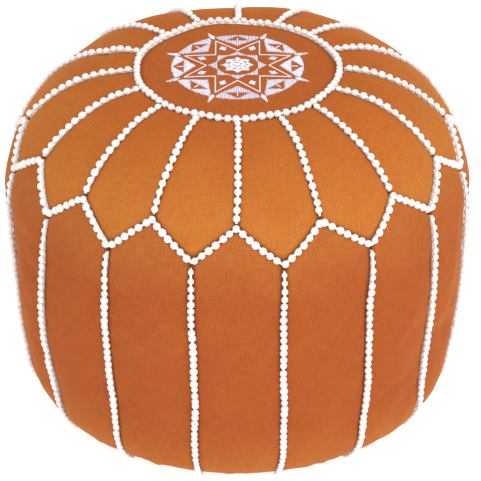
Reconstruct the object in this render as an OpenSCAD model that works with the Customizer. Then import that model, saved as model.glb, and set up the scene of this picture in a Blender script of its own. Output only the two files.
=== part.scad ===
// Round stuffed floor pouf with a sixteen-petal top, beaded seams, an embroidered medallion and a zipped base.
// Millimetres, +Z up, origin at the middle of the base where it meets the floor.
// The cover is cut from one body of revolution: a crown arc, a shoulder arc, a side arc and a foot arc,
// each tangent to the next. Every layer is that body at its own distance in from the outer face.

/* [Body] */
// Greatest radius of the cloth cover
body_r = 250; // [230:1:270]
// Height of the crown above the floor
body_h = 400; // [370:1:410]
// Height at which the cover is widest
waist_z = 265; // [240:1:275]
// Radius of the flat crown arc
crown_arc_r = 1200; // [900:10:1500]
// Radius of the shoulder arc
shoulder_arc_r = 137; // [125:1:145]
// Radius of the long side arc
side_arc_r = 1500; // [1300:10:2000]
// Radius of the rounded foot
foot_arc_r = 68; // [56:1:72]
// Angle below the horizontal at which the side panels meet the base
base_seam_angle = 62; // [60:1:66]

/* [Panels] */
// Number of petals, which is also the number of side panels
panel_count = 16; // [16:1:16]
// Thickness of the cover cloth with its backing
cloth_t = 1.6; // [1.2:0.1:2]
// Width of the slot left in each seam for the trim's flange
seam_slot = 2; // [1.8:0.1:2.4]
// Radius of the seam round the medallion
medallion_r = 107; // [100:1:112]
// Radius of the peaks, where two petals part
peak_r = 226; // [222:1:228]
// Height of the valleys, where each petal ends in a point
valley_z = 300; // [296:1:304]

/* [Bead trim] */
// Width of the row of beads
bead_w = 6.6; // [5:0.1:7]
// Height of the beads above the cloth
bead_h = 6.8; // [5:0.1:7]
// Thickness of the flange that is sewn into the seam
flange_t = 1.4; // [1:0.1:1.6]

/* [Embroidery] */
// Outer radius of the embroidered star and its rim
motif_r = 71; // [60:1:76]
// Thickness of the satin stitch
thread_t = 0.7; // [0.4:0.1:1]

/* [Lining and filling] */
// Thickness of the calico bag
bag_t = 0.8; // [0.6:0.1:1.2]
// Gap between the cover, the bag and the filling
layer_gap = 0.3; // [0.2:0.1:0.5]

/* [Zip] */
// Length of the toothed chain
chain_len = 300; // [260:2:310]
// Distance from one tooth to the next on the same tape
tooth_pitch = 2.4; // [2:0.2:3]
// Width of the slot in the base that the zip closes
zip_slot = 12; // [11.6:0.2:13]
// Depth by which the zip sits up inside the base
zip_recess = 7; // [7:0.5:8]
// Length of the slider
slider_len = 13; // [12:0.5:14]
// Length of the pull, from its pivot to its tip
pull_len = 26; // [20:1:27]

/* [Hidden] */
$fn = 180;

petal_colour = "#C86D2E";
side_colour = "#C4672F";
medallion_colour = "#C3652B";
trim_colour = "#F7F4EF";
thread_colour = "#EFEAF2";
calico_colour = "#E9E0CD";
wadding_colour = "#F1EDE4";
tape_colour = "#B65E2A";
metal_colour = "#A8844E";

pitch = 360 / panel_count;
half_pitch = pitch / 2;

// Longer than any distance on the pouf, for solids that only cut.
far = 700;
// Gap left between parts that lie against one another.
slack = 0.3;

// Centres of the four arcs of the outline, as points of radius and height.
crown_c = [0, body_h - crown_arc_r];
side_c = [body_r - side_arc_r, waist_z];
shoulder_c = tangent_centre(crown_c, crown_arc_r - shoulder_arc_r, side_c, side_arc_r - shoulder_arc_r);
foot_c = [side_c.x + sqrt((side_arc_r - foot_arc_r) ^ 2 - (waist_z - foot_arc_r) ^ 2), foot_arc_r];

// Directions in which one arc hands over to the next, in degrees above the horizontal.
crown_to_shoulder = direction(crown_c, shoulder_c);
shoulder_to_side = direction(side_c, shoulder_c);
side_to_foot = direction(side_c, foot_c);
foot_to_floor = -90;

crown_steps = 3;
shoulder_steps = 10;
side_steps = 5;
foot_steps = 6;
zigzag_steps = 8;

// Where the seams lie on the outline.
medallion_angle = acos(medallion_r / crown_arc_r);
peak_angle = acos((peak_r - shoulder_c.x) / shoulder_arc_r);
peak_z = shoulder_c.y + shoulder_arc_r * sin(peak_angle);
valley_angle = asin((valley_z - shoulder_c.y) / shoulder_arc_r);
valley_r = shoulder_c.x + shoulder_arc_r * cos(valley_angle);

// The petal's pointed end is cut square to the cloth half way down the point.
point_tilt = 90 - (peak_angle + valley_angle) / 2;
peak_x = peak_r * cos(half_pitch);
peak_y = peak_r * sin(half_pitch);
peak_down = peak_x * cos(point_tilt) - peak_z * sin(point_tilt);
valley_down = valley_r * cos(point_tilt) - valley_z * sin(point_tilt);
point_slope = (valley_down - peak_down) / peak_y;
point_stretch = sqrt(1 + point_slope ^ 2);

bag_out = cloth_t + layer_gap;
bag_in = bag_out + bag_t;
filling_out = bag_in + layer_gap;

// Half gaps in the base: between it and the side panels, and between its two panels.
base_gap = 0.2;
centre_gap = 0.15;

// The cords: how far the flange runs up into the beads, the space from one cord to the next, and
// the angles round the shoulder by which a cord stops short of the zigzag or runs past it.
bead_root = 1;
trim_space = 1.2;
petal_trim_stop = 2.3;
side_trim_stop = 2.6;
zigzag_room = 6;

// The embroidery, as shares of the motif's radius, and its depth in the cloth.
star_tip = 0.88;
star_notch = star_tip * cos(67.5) / cos(45);
inner_star_tip = star_notch - 0.04;
inner_star_hole = 0.325;
tip_line = 0.07;
notch_line = 0.0266;
stitch_gap = 0.1;
stitch_depth = 30;

// Heights of the zip's layers, from the outside in. The tape lies on the inner face of the base cloth.
layer = 0.1;
tape_t = 0.7;
tape_w = 12.4;
tape_inner_y = 2.6;
tape_spare = 15;
tape_z = zip_recess + cloth_t + layer;
tooth_t = 2.2;
tooth_z = tape_z - layer - tooth_t;
tooth_root_y = 3.3;
tooth_reach = 0.6;
tooth_w = 0.8;
rib_y = 1;
first_tooth = 0.4;
plate_t = 1.2;
outer_plate_z = tooth_z - slack - plate_t;
inner_plate_z = tape_z + tape_t + slack;
flange_in = tooth_root_y + slack;
slider_w = 9.8;
slider_nose_w = 11;
crown_bar = 0.9;
crown_gap = 1.8;
crown_w = 2;
pivot_r = 0.55;
pivot_z = outer_plate_z - layer - crown_gap / 2;
pull_t = 1;
pull_w = 6;
chain_end = chain_len / 2;
slider_x = chain_end - 2;
stop_len = 3;
stop_y = 1.2;
stop_gap = 0.4;
slot_end = chain_end + 10;

// The trough round the zip: half its length, the run of its slopes and the flat on each side of the slot.
zip_half_room = chain_end + 28;
groove_run = 14;
lip_w = 6;
bag_room_z = inner_plate_z + plate_t + 2 * slack;
bag_room_y = tape_inner_y + tape_w + 1;
bag_room_x = zip_half_room + 5;

function direction(from, to) = atan2(to.y - from.y, to.x - from.x);

// Where two circles cross, on the side away from the axis.
function tangent_centre(a, ra, b, rb) =
    let (gap = norm(a - b), u = (a - b) / gap, t = (rb ^ 2 - ra ^ 2 + gap ^ 2) / (2 * gap),
         s = sqrt(rb ^ 2 - t ^ 2))
    b + u * t + s * [-u.y, u.x] * (u.y < 0 ? 1 : -1);

function arc_points(centre, r, from, to, steps) =
    [for (i = [0:steps]) let (a = from + (to - from) * i / steps) centre + r * [cos(a), sin(a)]];

// The whole outline, a distance in from the outer face.
function outline(inset) = concat(
    arc_points(crown_c, crown_arc_r - inset, 90, crown_to_shoulder, crown_steps),
    arc_points(shoulder_c, shoulder_arc_r - inset, crown_to_shoulder, shoulder_to_side, shoulder_steps),
    arc_points(side_c, side_arc_r - inset, shoulder_to_side, side_to_foot, side_steps),
    arc_points(foot_c, foot_arc_r - inset, side_to_foot, foot_to_floor, foot_steps),
    [[0, inset]]);

// A closed strip along the shoulder between two insets.
function shoulder_strip(from, to, inner, outer) = concat(
    arc_points(shoulder_c, shoulder_arc_r - inner, from, to, zigzag_steps),
    arc_points(shoulder_c, shoulder_arc_r - outer, to, from, zigzag_steps));

// ---- Solids that the pieces are cut from ----

// The body of revolution over a sector, centred on +X.
module body(inset, sector = 360) {
    rotate_extrude(angle = sector, start = sector == 360 ? 0 : -sector / 2) polygon(outline(inset));
}

module shell(from, to, sector = 360) {
    difference() {
        body(from, sector);
        body(to, sector + (sector == 360 ? 0 : 4));
    }
}

// Everything above the petal's pointed end, grown by a margin square to the edge.
module petal_prism(margin) {
    tip = valley_down + margin * point_stretch;
    wide = 2 * peak_y;
    rotate([0, point_tilt, 0])
        translate([0, 0, -far / 2])
            linear_extrude(2 * far)
                polygon([[-far, -wide], [tip - point_slope * wide, -wide], [tip, 0],
                         [tip - point_slope * wide, wide], [-far, wide]]);
}

// A flat wall in the vertical plane of a seam, on +X.
module seam_wall(width) {
    translate([0, -width / 2, -far]) cube([far, width, 2 * far]);
}

// The trough under the base that holds the zip clear of the floor, grown by the thickness round it.
module zip_trough(depth, half_w, half_l, thick) {
    ramp = atan2(depth, groove_run);
    mouth = groove_run + thick / sin(ramp);
    top = groove_run - mouth + (depth + thick) / tan(ramp);
    intersection() {
        rotate([90, 0, 90]) translate([0, 0, -far / 2]) linear_extrude(far)
            trough_section(half_w, mouth, top, depth + thick);
        rotate([90, 0, 0]) translate([0, 0, -far / 2]) linear_extrude(far)
            trough_section(half_l, mouth, top, depth + thick);
    }
}

module trough_section(half_w, mouth, top, height) {
    polygon([[-half_w - mouth, -1], [-half_w - mouth, 0], [-half_w - groove_run + top, height],
             [half_w + groove_run - top, height], [half_w + mouth, 0], [half_w + mouth, -1]]);
}

// ---- Cover ----

module medallion() {
    color(medallion_colour) intersection() {
        shell(0, cloth_t);
        translate([0, 0, waist_z]) cylinder(r = medallion_r - seam_slot / 2, h = far);
    }
}

module petal(i) {
    color(petal_colour) rotate([0, 0, (i - 1) * pitch + half_pitch]) difference() {
        intersection() {
            shell(0, cloth_t, pitch);
            petal_prism(-seam_slot / 2);
        }
        cylinder(r = medallion_r + seam_slot / 2, h = far);
        for (side = [-1, 1]) rotate([0, 0, side * half_pitch]) seam_wall(seam_slot);
    }
}

module side_panel(i) {
    color(side_colour) rotate([0, 0, (i - 1) * pitch]) difference() {
        intersection() {
            shell(0, cloth_t, pitch);
            above_base_seam(base_gap);
        }
        for (side = [-1, 1]) {
            rotate([0, 0, side * half_pitch]) petal_prism(seam_slot / 2);
            rotate([0, 0, side * half_pitch]) seam_wall(seam_slot);
        }
    }
}

// A ring outside the cone on which the side panels and the base meet.
module above_base_seam(gap) {
    a = base_seam_angle;
    rotate_extrude() translate(foot_c) polygon([
        [gap * sin(a), gap * cos(a)], [far * cos(a) + gap * sin(a), gap * cos(a) - far * sin(a)],
        [far, far], [-far / 8, far]]);
}

module base_panel(side) {
    color(side_colour) difference() {
        base_layer(0, base_gap);
        base_layer(cloth_t, -far);
        translate([-far, side < 0 ? -centre_gap : -far + centre_gap, -far]) cube([2 * far, far, 2 * far]);
        translate([-slot_end, -zip_slot / 2, -far]) cube([2 * slot_end, zip_slot, 2 * far]);
    }
}

// The foot of the body inside the base seam, with the zip's trough pressed into it.
module base_layer(inset, gap) {
    a = base_seam_angle;
    difference() {
        body(inset);
        rotate_extrude() translate(foot_c) polygon([
            [-gap * sin(a), -gap * cos(a)], [far * cos(a) - gap * sin(a), -gap * cos(a) - far * sin(a)],
            [far, far], [-gap * sin(a) - 1, far]]);
        translate([0, 0, foot_c.y]) cylinder(r = far, h = far);
        zip_trough(zip_recess, zip_slot / 2 + lip_w, zip_half_room, inset);
    }
}

// ---- Bead trim: a row of beads on a flange that stands in the seam ----

module medallion_trim() {
    z = crown_c.y + crown_arc_r * sin(medallion_angle);
    color(trim_colour) rotate_extrude() translate([medallion_r, z]) {
        translate([-flange_t / 2, -cloth_t]) square([flange_t, cloth_t + slack + bead_root]);
        translate([-bead_w / 2, slack]) square([bead_w, bead_h - slack]);
    }
}

// A strip standing in a seam's vertical plane along an arc of the outline.
module seam_strip(points, width) {
    rotate([90, 0, 0]) translate([0, 0, -width / 2]) linear_extrude(width) polygon(points);
}

module petal_trim() {
    start = acos((medallion_r + bead_w / 2 + trim_space) / crown_arc_r);
    end = peak_angle + petal_trim_stop;
    color(trim_colour) for (i = [0:panel_count - 1]) rotate([0, 0, i * pitch]) {
        seam_strip(crown_shoulder_strip(start, end, -slack, -bead_h), bead_w);
        seam_strip(crown_shoulder_strip(start, end, cloth_t, -slack - bead_root), flange_t);
    }
}

function crown_shoulder_strip(start, end, inner, outer) = concat(
    arc_points(crown_c, crown_arc_r - inner, start, crown_to_shoulder, 1),
    arc_points(shoulder_c, shoulder_arc_r - inner, crown_to_shoulder, end, shoulder_steps),
    arc_points(shoulder_c, shoulder_arc_r - outer, end, crown_to_shoulder, shoulder_steps),
    arc_points(crown_c, crown_arc_r - outer, crown_to_shoulder, start, 1));

module zigzag_trim() {
    color(trim_colour) for (i = [0:panel_count - 1]) rotate([0, 0, (i + 0.5) * pitch]) {
        zigzag_layer(-bead_h, -slack, bead_w);
        zigzag_layer(-slack - bead_root, cloth_t, flange_t);
    }
}

// One petal's point, as a bent strip of a given width between two depths.
module zigzag_layer(outer, inner, width) {
    difference() {
        intersection() {
            rotate_extrude(angle = pitch, start = -half_pitch)
                polygon(shoulder_strip(peak_angle + zigzag_room, valley_angle - zigzag_room, outer, inner));
            petal_prism(width / 2);
        }
        petal_prism(-width / 2);
    }
}

module side_trim() {
    start = valley_angle - side_trim_stop;
    end = -base_seam_angle;
    color(trim_colour) for (i = [0:panel_count - 1]) rotate([0, 0, (i + 0.5) * pitch]) {
        seam_strip(shoulder_foot_strip(start, end, -slack, -bead_h), bead_w);
        seam_strip(shoulder_foot_strip(start, end, cloth_t, -slack - bead_root), flange_t);
    }
}

function shoulder_foot_line(start, end, inset) = concat(
    arc_points(shoulder_c, shoulder_arc_r - inset, start, shoulder_to_side, 4),
    arc_points(side_c, side_arc_r - inset, shoulder_to_side, side_to_foot, side_steps),
    arc_points(foot_c, foot_arc_r - inset, side_to_foot, end, foot_steps));

function shoulder_foot_strip(start, end, inner, outer) =
    let (back = shoulder_foot_line(start, end, outer))
    concat(shoulder_foot_line(start, end, inner), [for (i = [len(back) - 1:-1:0]) back[i]]);

// ---- Embroidery on the medallion ----

// Corners of an eight-pointed star, as shares of the motif's radius.
function star(tip, notch, turn = 22.5) =
    [for (i = [0:15]) let (r = i % 2 == 0 ? tip : notch) r * [cos(turn + i * 22.5), sin(turn + i * 22.5)]];

// Stitches that lie on the medallion wherever the drawing covers it.
module stitched() {
    color(thread_colour) intersection() {
        shell(-thread_t - stitch_gap, -stitch_gap);
        translate([0, 0, body_h - stitch_depth]) linear_extrude(2 * stitch_depth) scale(motif_r) children();
    }
}

module embroidered_star() {
    stitched() difference() {
        polygon(star(star_tip, star_notch));
        polygon(star(star_tip - tip_line, star_notch - notch_line));
    }
}

module embroidered_inner_star() {
    stitched() difference() {
        polygon(star(inner_star_tip, inner_star_tip * cos(45) / cos(22.5), 0));
        circle(r = inner_star_hole);
    }
}

module embroidered_rosette() {
    stitched() polygon(star(0.245, 0.17, 0));
}

module embroidered_diamonds() {
    stitched() for (i = [0:7]) rotate(22.5 + i * 45) translate([0.58, 0])
        polygon([[-0.065, 0], [0, 0.045], [0.07, 0], [0, -0.045]]);
}

module embroidered_rays() {
    stitched() for (i = [0:7]) rotate(22.5 + i * 45) translate([0.95, 0])
        polygon([[0, 0], [0.08, 0.033], [0.22, 0], [0.08, -0.033]]);
}

// The white fields between the star's tips, each with an open triangle and a stem.
module embroidered_rim() {
    inner_tip = 0.63;
    half_angle = 19.5;
    stitched() for (i = [0:7]) rotate(i * 45) {
        difference() {
            intersection() {
                circle(r = 1);
                polygon([[inner_tip, 0], [1.1 * cos(half_angle), 1.06 * sin(half_angle)],
                         [1.1 * cos(half_angle), -1.06 * sin(half_angle)]]);
            }
            polygon([[0.82, -0.15], [0.82, 0.15], [0.975, 0]]);
        }
        translate([0.815, -0.012]) square([0.1, 0.024]);
    }
}

// ---- Inside ----

module inner_bag() {
    color(calico_colour) difference() {
        bag_layer(bag_out, 0);
        bag_layer(bag_in, bag_t);
    }
}

module bag_layer(inset, thick) {
    difference() {
        body(inset);
        zip_trough(bag_room_z, bag_room_y, bag_room_x, thick);
    }
}

module filling() {
    color(wadding_colour) bag_layer(filling_out, bag_t + layer_gap);
}

// ---- Zip ----

module zip_tape(side) {
    color(tape_colour) scale_side(side)
        translate([-chain_end - tape_spare, tape_inner_y, tape_z])
            cube([chain_len + 2 * tape_spare, tape_w, tape_t]);
}

module scale_side(side) {
    if (side < 0) mirror([0, 1, 0]) children();
    else children();
}

// One row of teeth: a rib along the tape, with a tooth at each pitch that reaches past the middle.
module zip_teeth(side) {
    count = floor((chain_len - 2) / tooth_pitch);
    start = first_tooth + (side < 0 ? tooth_pitch / 2 : 0);
    color(metal_colour) scale_side(side) translate([-chain_end, 0, tooth_z]) linear_extrude(tooth_t)
        polygon(concat([[0, tooth_root_y], [0, rib_y]],
            [for (i = [0:count - 1]) let (x = start + i * tooth_pitch)
                each [[x, rib_y], [x, -tooth_reach], [x + tooth_w, -tooth_reach], [x + tooth_w, rib_y]]],
            [[chain_len, rib_y], [chain_len, tooth_root_y]]));
}

module zip_top_stops() {
    color(metal_colour) for (side = [-1, 1]) scale_side(side)
        translate([slider_x + slider_len / 2 + stop_gap, stop_y, tooth_z])
            cube([stop_len, tooth_root_y - stop_y, tooth_t]);
}

module zip_bottom_stop() {
    color(metal_colour) translate([-chain_end - stop_len - slack, -tooth_root_y, tooth_z])
        cube([stop_len, 2 * tooth_root_y, tooth_t]);
}

// The slider's body: two plates held apart by a wedge, side flanges, and a crown that carries the pull.
module zip_slider() {
    nose = slider_len / 2;
    color(metal_colour) translate([slider_x, 0, 0]) {
        translate([0, 0, outer_plate_z]) linear_extrude(plate_t) slider_outline();
        translate([0, 0, inner_plate_z]) linear_extrude(plate_t) slider_outline();
        translate([0, 0, outer_plate_z + layer]) linear_extrude(inner_plate_z - outer_plate_z)
            polygon([[nose - 4.3, 0], [nose - 2.2, 1.1], [nose - 0.4, 0.8],
                     [nose - 0.4, -0.8], [nose - 2.2, -1.1]]);
        for (side = [-1, 1]) scale_side(side)
            translate([-nose, flange_in, outer_plate_z + layer])
                cube([slider_len - 2, slider_w / 2 - flange_in, tape_z - slack - outer_plate_z - layer]);
        slider_crown();
    }
}

module slider_outline() {
    nose = slider_len / 2;
    half = [[-nose, slider_w / 2], [1, slider_w / 2],
            [nose - 2, slider_nose_w / 2], [nose, slider_nose_w / 2 - 1.5]];
    polygon(concat(half, [for (i = [3:-1:0]) [half[i].x, -half[i].y]]));
}

// An arch along the slider. The pull's pivot bar lies in its opening.
module slider_crown() {
    depth = crown_gap + crown_bar;
    rotate([90, 0, 0]) translate([0, 0, -crown_w / 2])
        linear_extrude(crown_w) translate([0, outer_plate_z]) difference() {
            polygon([[-3.6, 0.2], [-3.6, -depth + 1], [-2.6, -depth],
                     [2.6, -depth], [3.6, -depth + 1], [3.6, 0.2]]);
            translate([-2.4, -layer - crown_gap]) square([4.8, crown_gap]);
        }
}

// The pull: a tab with a window at one end, closed by the pivot bar.
module zip_pull() {
    half = [[-pull_len, 1.8], [-pull_len + 1.5, pull_w / 2], [-7, pull_w / 2], [-layer, pull_w / 2 - 0.5]];
    color(metal_colour) translate([slider_x, 0, pivot_z]) {
        rotate([90, 0, 0]) cylinder(r = pivot_r, h = pull_w - 1, center = true);
        translate([0, 0, -pull_t / 2]) linear_extrude(pull_t) difference() {
            polygon(concat(half, [for (i = [3:-1:0]) [half[i].x, -half[i].y]]));
            translate([-5.4, -1.3]) square([5.4, 2.6]);
        }
    }
}

medallion();
for (i = [1:panel_count]) {
    petal(i);
    side_panel(i);
}
base_panel(1);  // base_panel_left
base_panel(-1);  // base_panel_right
medallion_trim();
petal_trim();
zigzag_trim();
side_trim();
embroidered_star();
embroidered_inner_star();
embroidered_rosette();
embroidered_diamonds();
embroidered_rays();
embroidered_rim();
inner_bag();
filling();
zip_tape(1);  // zip_tape_left
zip_tape(-1);  // zip_tape_right
zip_teeth(1);  // zip_teeth_left
zip_teeth(-1);  // zip_teeth_right
zip_top_stops();
zip_bottom_stop();
zip_slider();
zip_pull();
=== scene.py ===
"""Round floor pouf in burnt-orange canvas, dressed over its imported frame.

Sixteen petals ring an embroidered medallion, sixteen side panels hang below them, and a white
beaded cord stands in every seam. The cloth is blown out from its sewn lines by a cloth
simulation, so each panel crowns between its seams as a stuffed panel does.
"""

import logging
import math
from dataclasses import dataclass, field
from enum import Enum
from typing import Any, Callable, Iterable, Sequence

import bmesh
import bpy
import numpy as np
from mathutils import Matrix, Vector


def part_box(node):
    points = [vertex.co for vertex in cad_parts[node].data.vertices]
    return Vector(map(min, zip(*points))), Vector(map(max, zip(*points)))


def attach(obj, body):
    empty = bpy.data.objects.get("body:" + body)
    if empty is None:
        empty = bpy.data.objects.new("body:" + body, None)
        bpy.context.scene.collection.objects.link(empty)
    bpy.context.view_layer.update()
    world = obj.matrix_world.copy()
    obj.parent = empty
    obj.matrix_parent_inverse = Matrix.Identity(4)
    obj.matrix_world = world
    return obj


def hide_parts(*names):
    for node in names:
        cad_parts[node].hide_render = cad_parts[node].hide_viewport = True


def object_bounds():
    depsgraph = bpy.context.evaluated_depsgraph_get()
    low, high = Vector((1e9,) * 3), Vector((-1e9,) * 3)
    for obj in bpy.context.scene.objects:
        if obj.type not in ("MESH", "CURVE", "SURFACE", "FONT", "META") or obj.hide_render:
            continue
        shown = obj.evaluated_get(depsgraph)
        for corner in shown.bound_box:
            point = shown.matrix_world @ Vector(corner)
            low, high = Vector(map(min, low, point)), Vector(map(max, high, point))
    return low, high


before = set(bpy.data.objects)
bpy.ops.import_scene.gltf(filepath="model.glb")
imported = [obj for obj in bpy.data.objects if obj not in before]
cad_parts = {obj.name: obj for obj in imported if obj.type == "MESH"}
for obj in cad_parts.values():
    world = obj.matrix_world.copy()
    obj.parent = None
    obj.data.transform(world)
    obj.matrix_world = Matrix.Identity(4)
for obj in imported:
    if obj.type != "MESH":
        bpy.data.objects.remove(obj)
CAD_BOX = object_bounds()

log = logging.getLogger("pouf")
MM = 0.001
COVER = "cover"
CLOTH_UV = "cloth"
SEAM_SHADE = "painted_seam_shade"
PAINTED_LIGHT = "painted_light"
Array = np.ndarray
Point2 = tuple[float, float]
# A wave texture of scale one repeats every 0.31 units.
WAVE_REPEAT = 0.31
# The mixing node has one set of sockets for each kind of value. These are its colour ones.
FIRST, SECOND, MIXED = 6, 7, 2


# ---- Small tools -------------------------------------------------------------------------


def linear(colour: str) -> tuple[float, float, float, float]:
    """Turns an sRGB hex colour into the linear colour that a shader takes.

    Args:
        colour: Six hex digits after a hash, such as "#C8692F".

    Returns:
        Linear red, green and blue, and an alpha of one.
    """
    parts = [int(colour[i : i + 2], 16) / 255 for i in (1, 3, 5)]
    red, green, blue = [c / 12.92 if c <= 0.04045 else ((c + 0.055) / 1.055) ** 2.4 for c in parts]
    return red, green, blue, 1.0


def ease(low: float, high: float, x: Array) -> Array:
    """Rises smoothly from nought at low to one at high."""
    t = np.clip((np.asarray(x, float) - low) / (high - low), 0, 1)
    return t * t * (3 - 2 * t)


def unit(vectors: Array) -> Array:
    """Scales each vector in the last axis to length one."""
    return vectors / np.maximum(np.linalg.norm(vectors, axis=-1, keepdims=True), 1e-12)


def add_node(
    tree: bpy.types.NodeTree, kind: str, links: dict[Any, Any] | None = None, **settings: Any
) -> bpy.types.Node:
    """Adds one node to a material or world, with its settings and its inputs.

    Args:
        tree: The node tree that gets the node.
        kind: The node's type name, without its ShaderNode prefix.
        links: Input name or number to a socket to link or a value to set.
        **settings: Properties of the node itself.

    Returns:
        The new node.
    """
    made = tree.nodes.new("ShaderNode" + kind)
    for name, value in settings.items():
        setattr(made, name, value)
    for name, value in (links or {}).items():
        if isinstance(value, bpy.types.NodeSocket):
            tree.links.new(value, made.inputs[name])
        else:
            made.inputs[name].default_value = value
    return made


# ---- Finishes ----------------------------------------------------------------------------


class Finish:
    """A named material made from nodes. A subclass draws its own surface."""

    name: str

    def material(self) -> bpy.types.Material:
        """Gives the finish's material, and makes it the first time.

        Returns:
            The material.
        """
        found = bpy.data.materials.get(self.name)
        if found:
            return found
        made = bpy.data.materials.new(self.name)
        made.use_nodes = True
        made.node_tree.nodes.clear()
        shader = self.draw(made.node_tree)
        add_node(made.node_tree, "OutputMaterial", {"Surface": shader.outputs[0]})
        return made

    def draw(self, tree: bpy.types.NodeTree) -> bpy.types.Node:
        """Draws the surface in a tree and gives its shader node."""
        raise NotImplementedError(f"{self.name} has no surface to draw in {tree.name}")

    @staticmethod
    def bump(tree: bpy.types.NodeTree, height: Any, depth: float, share: float = 1.0) -> Any:
        """Turns a height pattern into a bump of a real depth.

        Args:
            tree: The material's node tree.
            height: Socket that runs from nought to one.
            depth: Height of the relief, in metres.
            share: Strength of the bump, up to one.

        Returns:
            The normal socket.
        """
        made = add_node(tree, "Bump", {"Height": height, "Distance": depth, "Strength": share})
        return made.outputs["Normal"]


@dataclass(frozen=True)
class Canvas(Finish):
    """Cotton canvas, plain woven and piece dyed: matte, with slubs and a warm fuzz at its edges."""

    name: str
    dye: str
    # Paler colour that both the random cloudy tone and the painted light lean to.
    tone_and_light_dye: str
    # Painted shade: the darker colour that the cloth takes by the seams.
    seam_shade_colour: str
    fuzz: str = "#F0A04E"
    # Real canvas has a thread about every 0.6 mm. It is drawn coarser, so that the weave shows.
    thread: float = 1.7 * MM
    relief: float = 0.22 * MM
    slub: float = 16 * MM
    slub_stretch: float = 14.0
    cloud: float = 60 * MM

    def draw(self, tree: bpy.types.NodeTree) -> bpy.types.Node:
        """Draws crossing threads, uneven yarn, cloudy dye, painted light that pales the dye where a panel is
        marked lit, and painted shade in a darker line by the seams.

        Args:
            tree: The material's node tree.

        Returns:
            The shader node.
        """
        place = add_node(tree, "UVMap", uv_map=CLOTH_UV)
        scale = {0: place.outputs[0], "Scale": 1 / self.thread}
        grain = add_node(tree, "VectorMath", scale, operation="SCALE")
        axes = add_node(tree, "SeparateXYZ", {0: grain.outputs[0]})
        waves = []
        for axis in (0, 1):
            turn = add_node(tree, "Math", {0: axes.outputs[axis], 1: math.pi}, operation="MULTIPLY")
            waves.append(add_node(tree, "Math", {0: turn.outputs[0]}, operation="SINE"))
        cross = add_node(tree, "Math", {0: waves[0].outputs[0], 1: waves[1].outputs[0]}, operation="MULTIPLY")
        weave = add_node(tree, "MapRange", {"Value": cross.outputs[0], "From Min": -1.0, "From Max": 1.0})
        ways = ((1.0, self.slub_stretch), (self.slub_stretch, 1.0))
        yarns = [self.uneven_yarn(tree, place.outputs[0], stretch) for stretch in ways]
        yarn = add_node(tree, "Math", {0: yarns[0], 1: yarns[1]}, operation="ADD")
        solid = add_node(tree, "TexCoord").outputs["Object"]
        clouds = {"Vector": solid, "Scale": 1 / self.cloud, "Detail": 3.0, "Roughness": 0.55}
        cloud = add_node(tree, "TexNoise", clouds).outputs["Fac"]
        spread = {"Value": cloud, "From Min": 0.32, "From Max": 0.68, "To Min": -0.22, "To Max": 0.22}
        patchy = add_node(tree, "MapRange", spread)
        # Painted light: paler dye where a panel is marked lit, with the random cloudy tone added.
        painted_light = add_node(tree, "Attribute", attribute_name=PAINTED_LIGHT)
        both = {0: painted_light.outputs["Fac"], 1: patchy.outputs[0]}
        light_and_tone = add_node(tree, "Math", both, operation="ADD", use_clamp=True)
        dyed = add_node(
            tree,
            "Mix",
            {0: light_and_tone.outputs[0], FIRST: linear(self.dye), SECOND: linear(self.tone_and_light_dye)},
            data_type="RGBA",
        )
        slubs = {"Value": yarn.outputs[0], "From Min": 0.7, "From Max": 1.3, "To Min": 0.86, "To Max": 1.14}
        shade = add_node(tree, "MapRange", slubs)
        thread_shade = add_node(tree, "MapRange", {"Value": weave.outputs[0], "To Min": 0.87, "To Max": 1.10})
        tone = add_node(tree, "Math", {0: shade.outputs[0], 1: thread_shade.outputs[0]}, operation="MULTIPLY")
        scale = {0: dyed.outputs[MIXED], "Scale": tone.outputs[0]}
        toned = add_node(tree, "VectorMath", scale, operation="SCALE")
        # Painted shade: darkens the cloth towards the seams and where it turns into them.
        seam = add_node(tree, "Attribute", attribute_name=SEAM_SHADE)
        coloured = add_node(
            tree,
            "Mix",
            {0: seam.outputs["Fac"], FIRST: toned.outputs[0], SECOND: linear(self.seam_shade_colour)},
            data_type="RGBA",
        )
        height = add_node(tree, "Math", {0: weave.outputs[0], 1: yarn.outputs[0]}, operation="ADD")
        return add_node(
            tree,
            "BsdfPrincipled",
            {
                "Base Color": coloured.outputs[MIXED],
                "Roughness": 0.86,
                "IOR": 1.46,
                "Specular IOR Level": 0.1,
                "Sheen Weight": 0.34,
                "Sheen Roughness": 0.35,
                "Sheen Tint": linear(self.fuzz),
                "Normal": self.bump(tree, height.outputs[0], self.relief, 0.7),
            },
        )

    def uneven_yarn(self, tree: bpy.types.NodeTree, place: Any, stretch: Point2) -> Any:
        """Draws slubs drawn out along one set of threads.

        Args:
            tree: The material's node tree.
            place: Socket with the place on the cloth, in metres.
            stretch: How much finer the pattern is along each axis of the cloth.

        Returns:
            A socket that runs from nought to one.
        """
        scale = (stretch[0] / self.slub, stretch[1] / self.slub, 1.0)
        scaled = add_node(tree, "VectorMath", {0: place, 1: scale}, operation="MULTIPLY")
        noise = add_node(tree, "TexNoise", {"Vector": scaled.outputs[0], "Scale": 1.0, "Detail": 2.0})
        return noise.outputs["Fac"]


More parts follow.
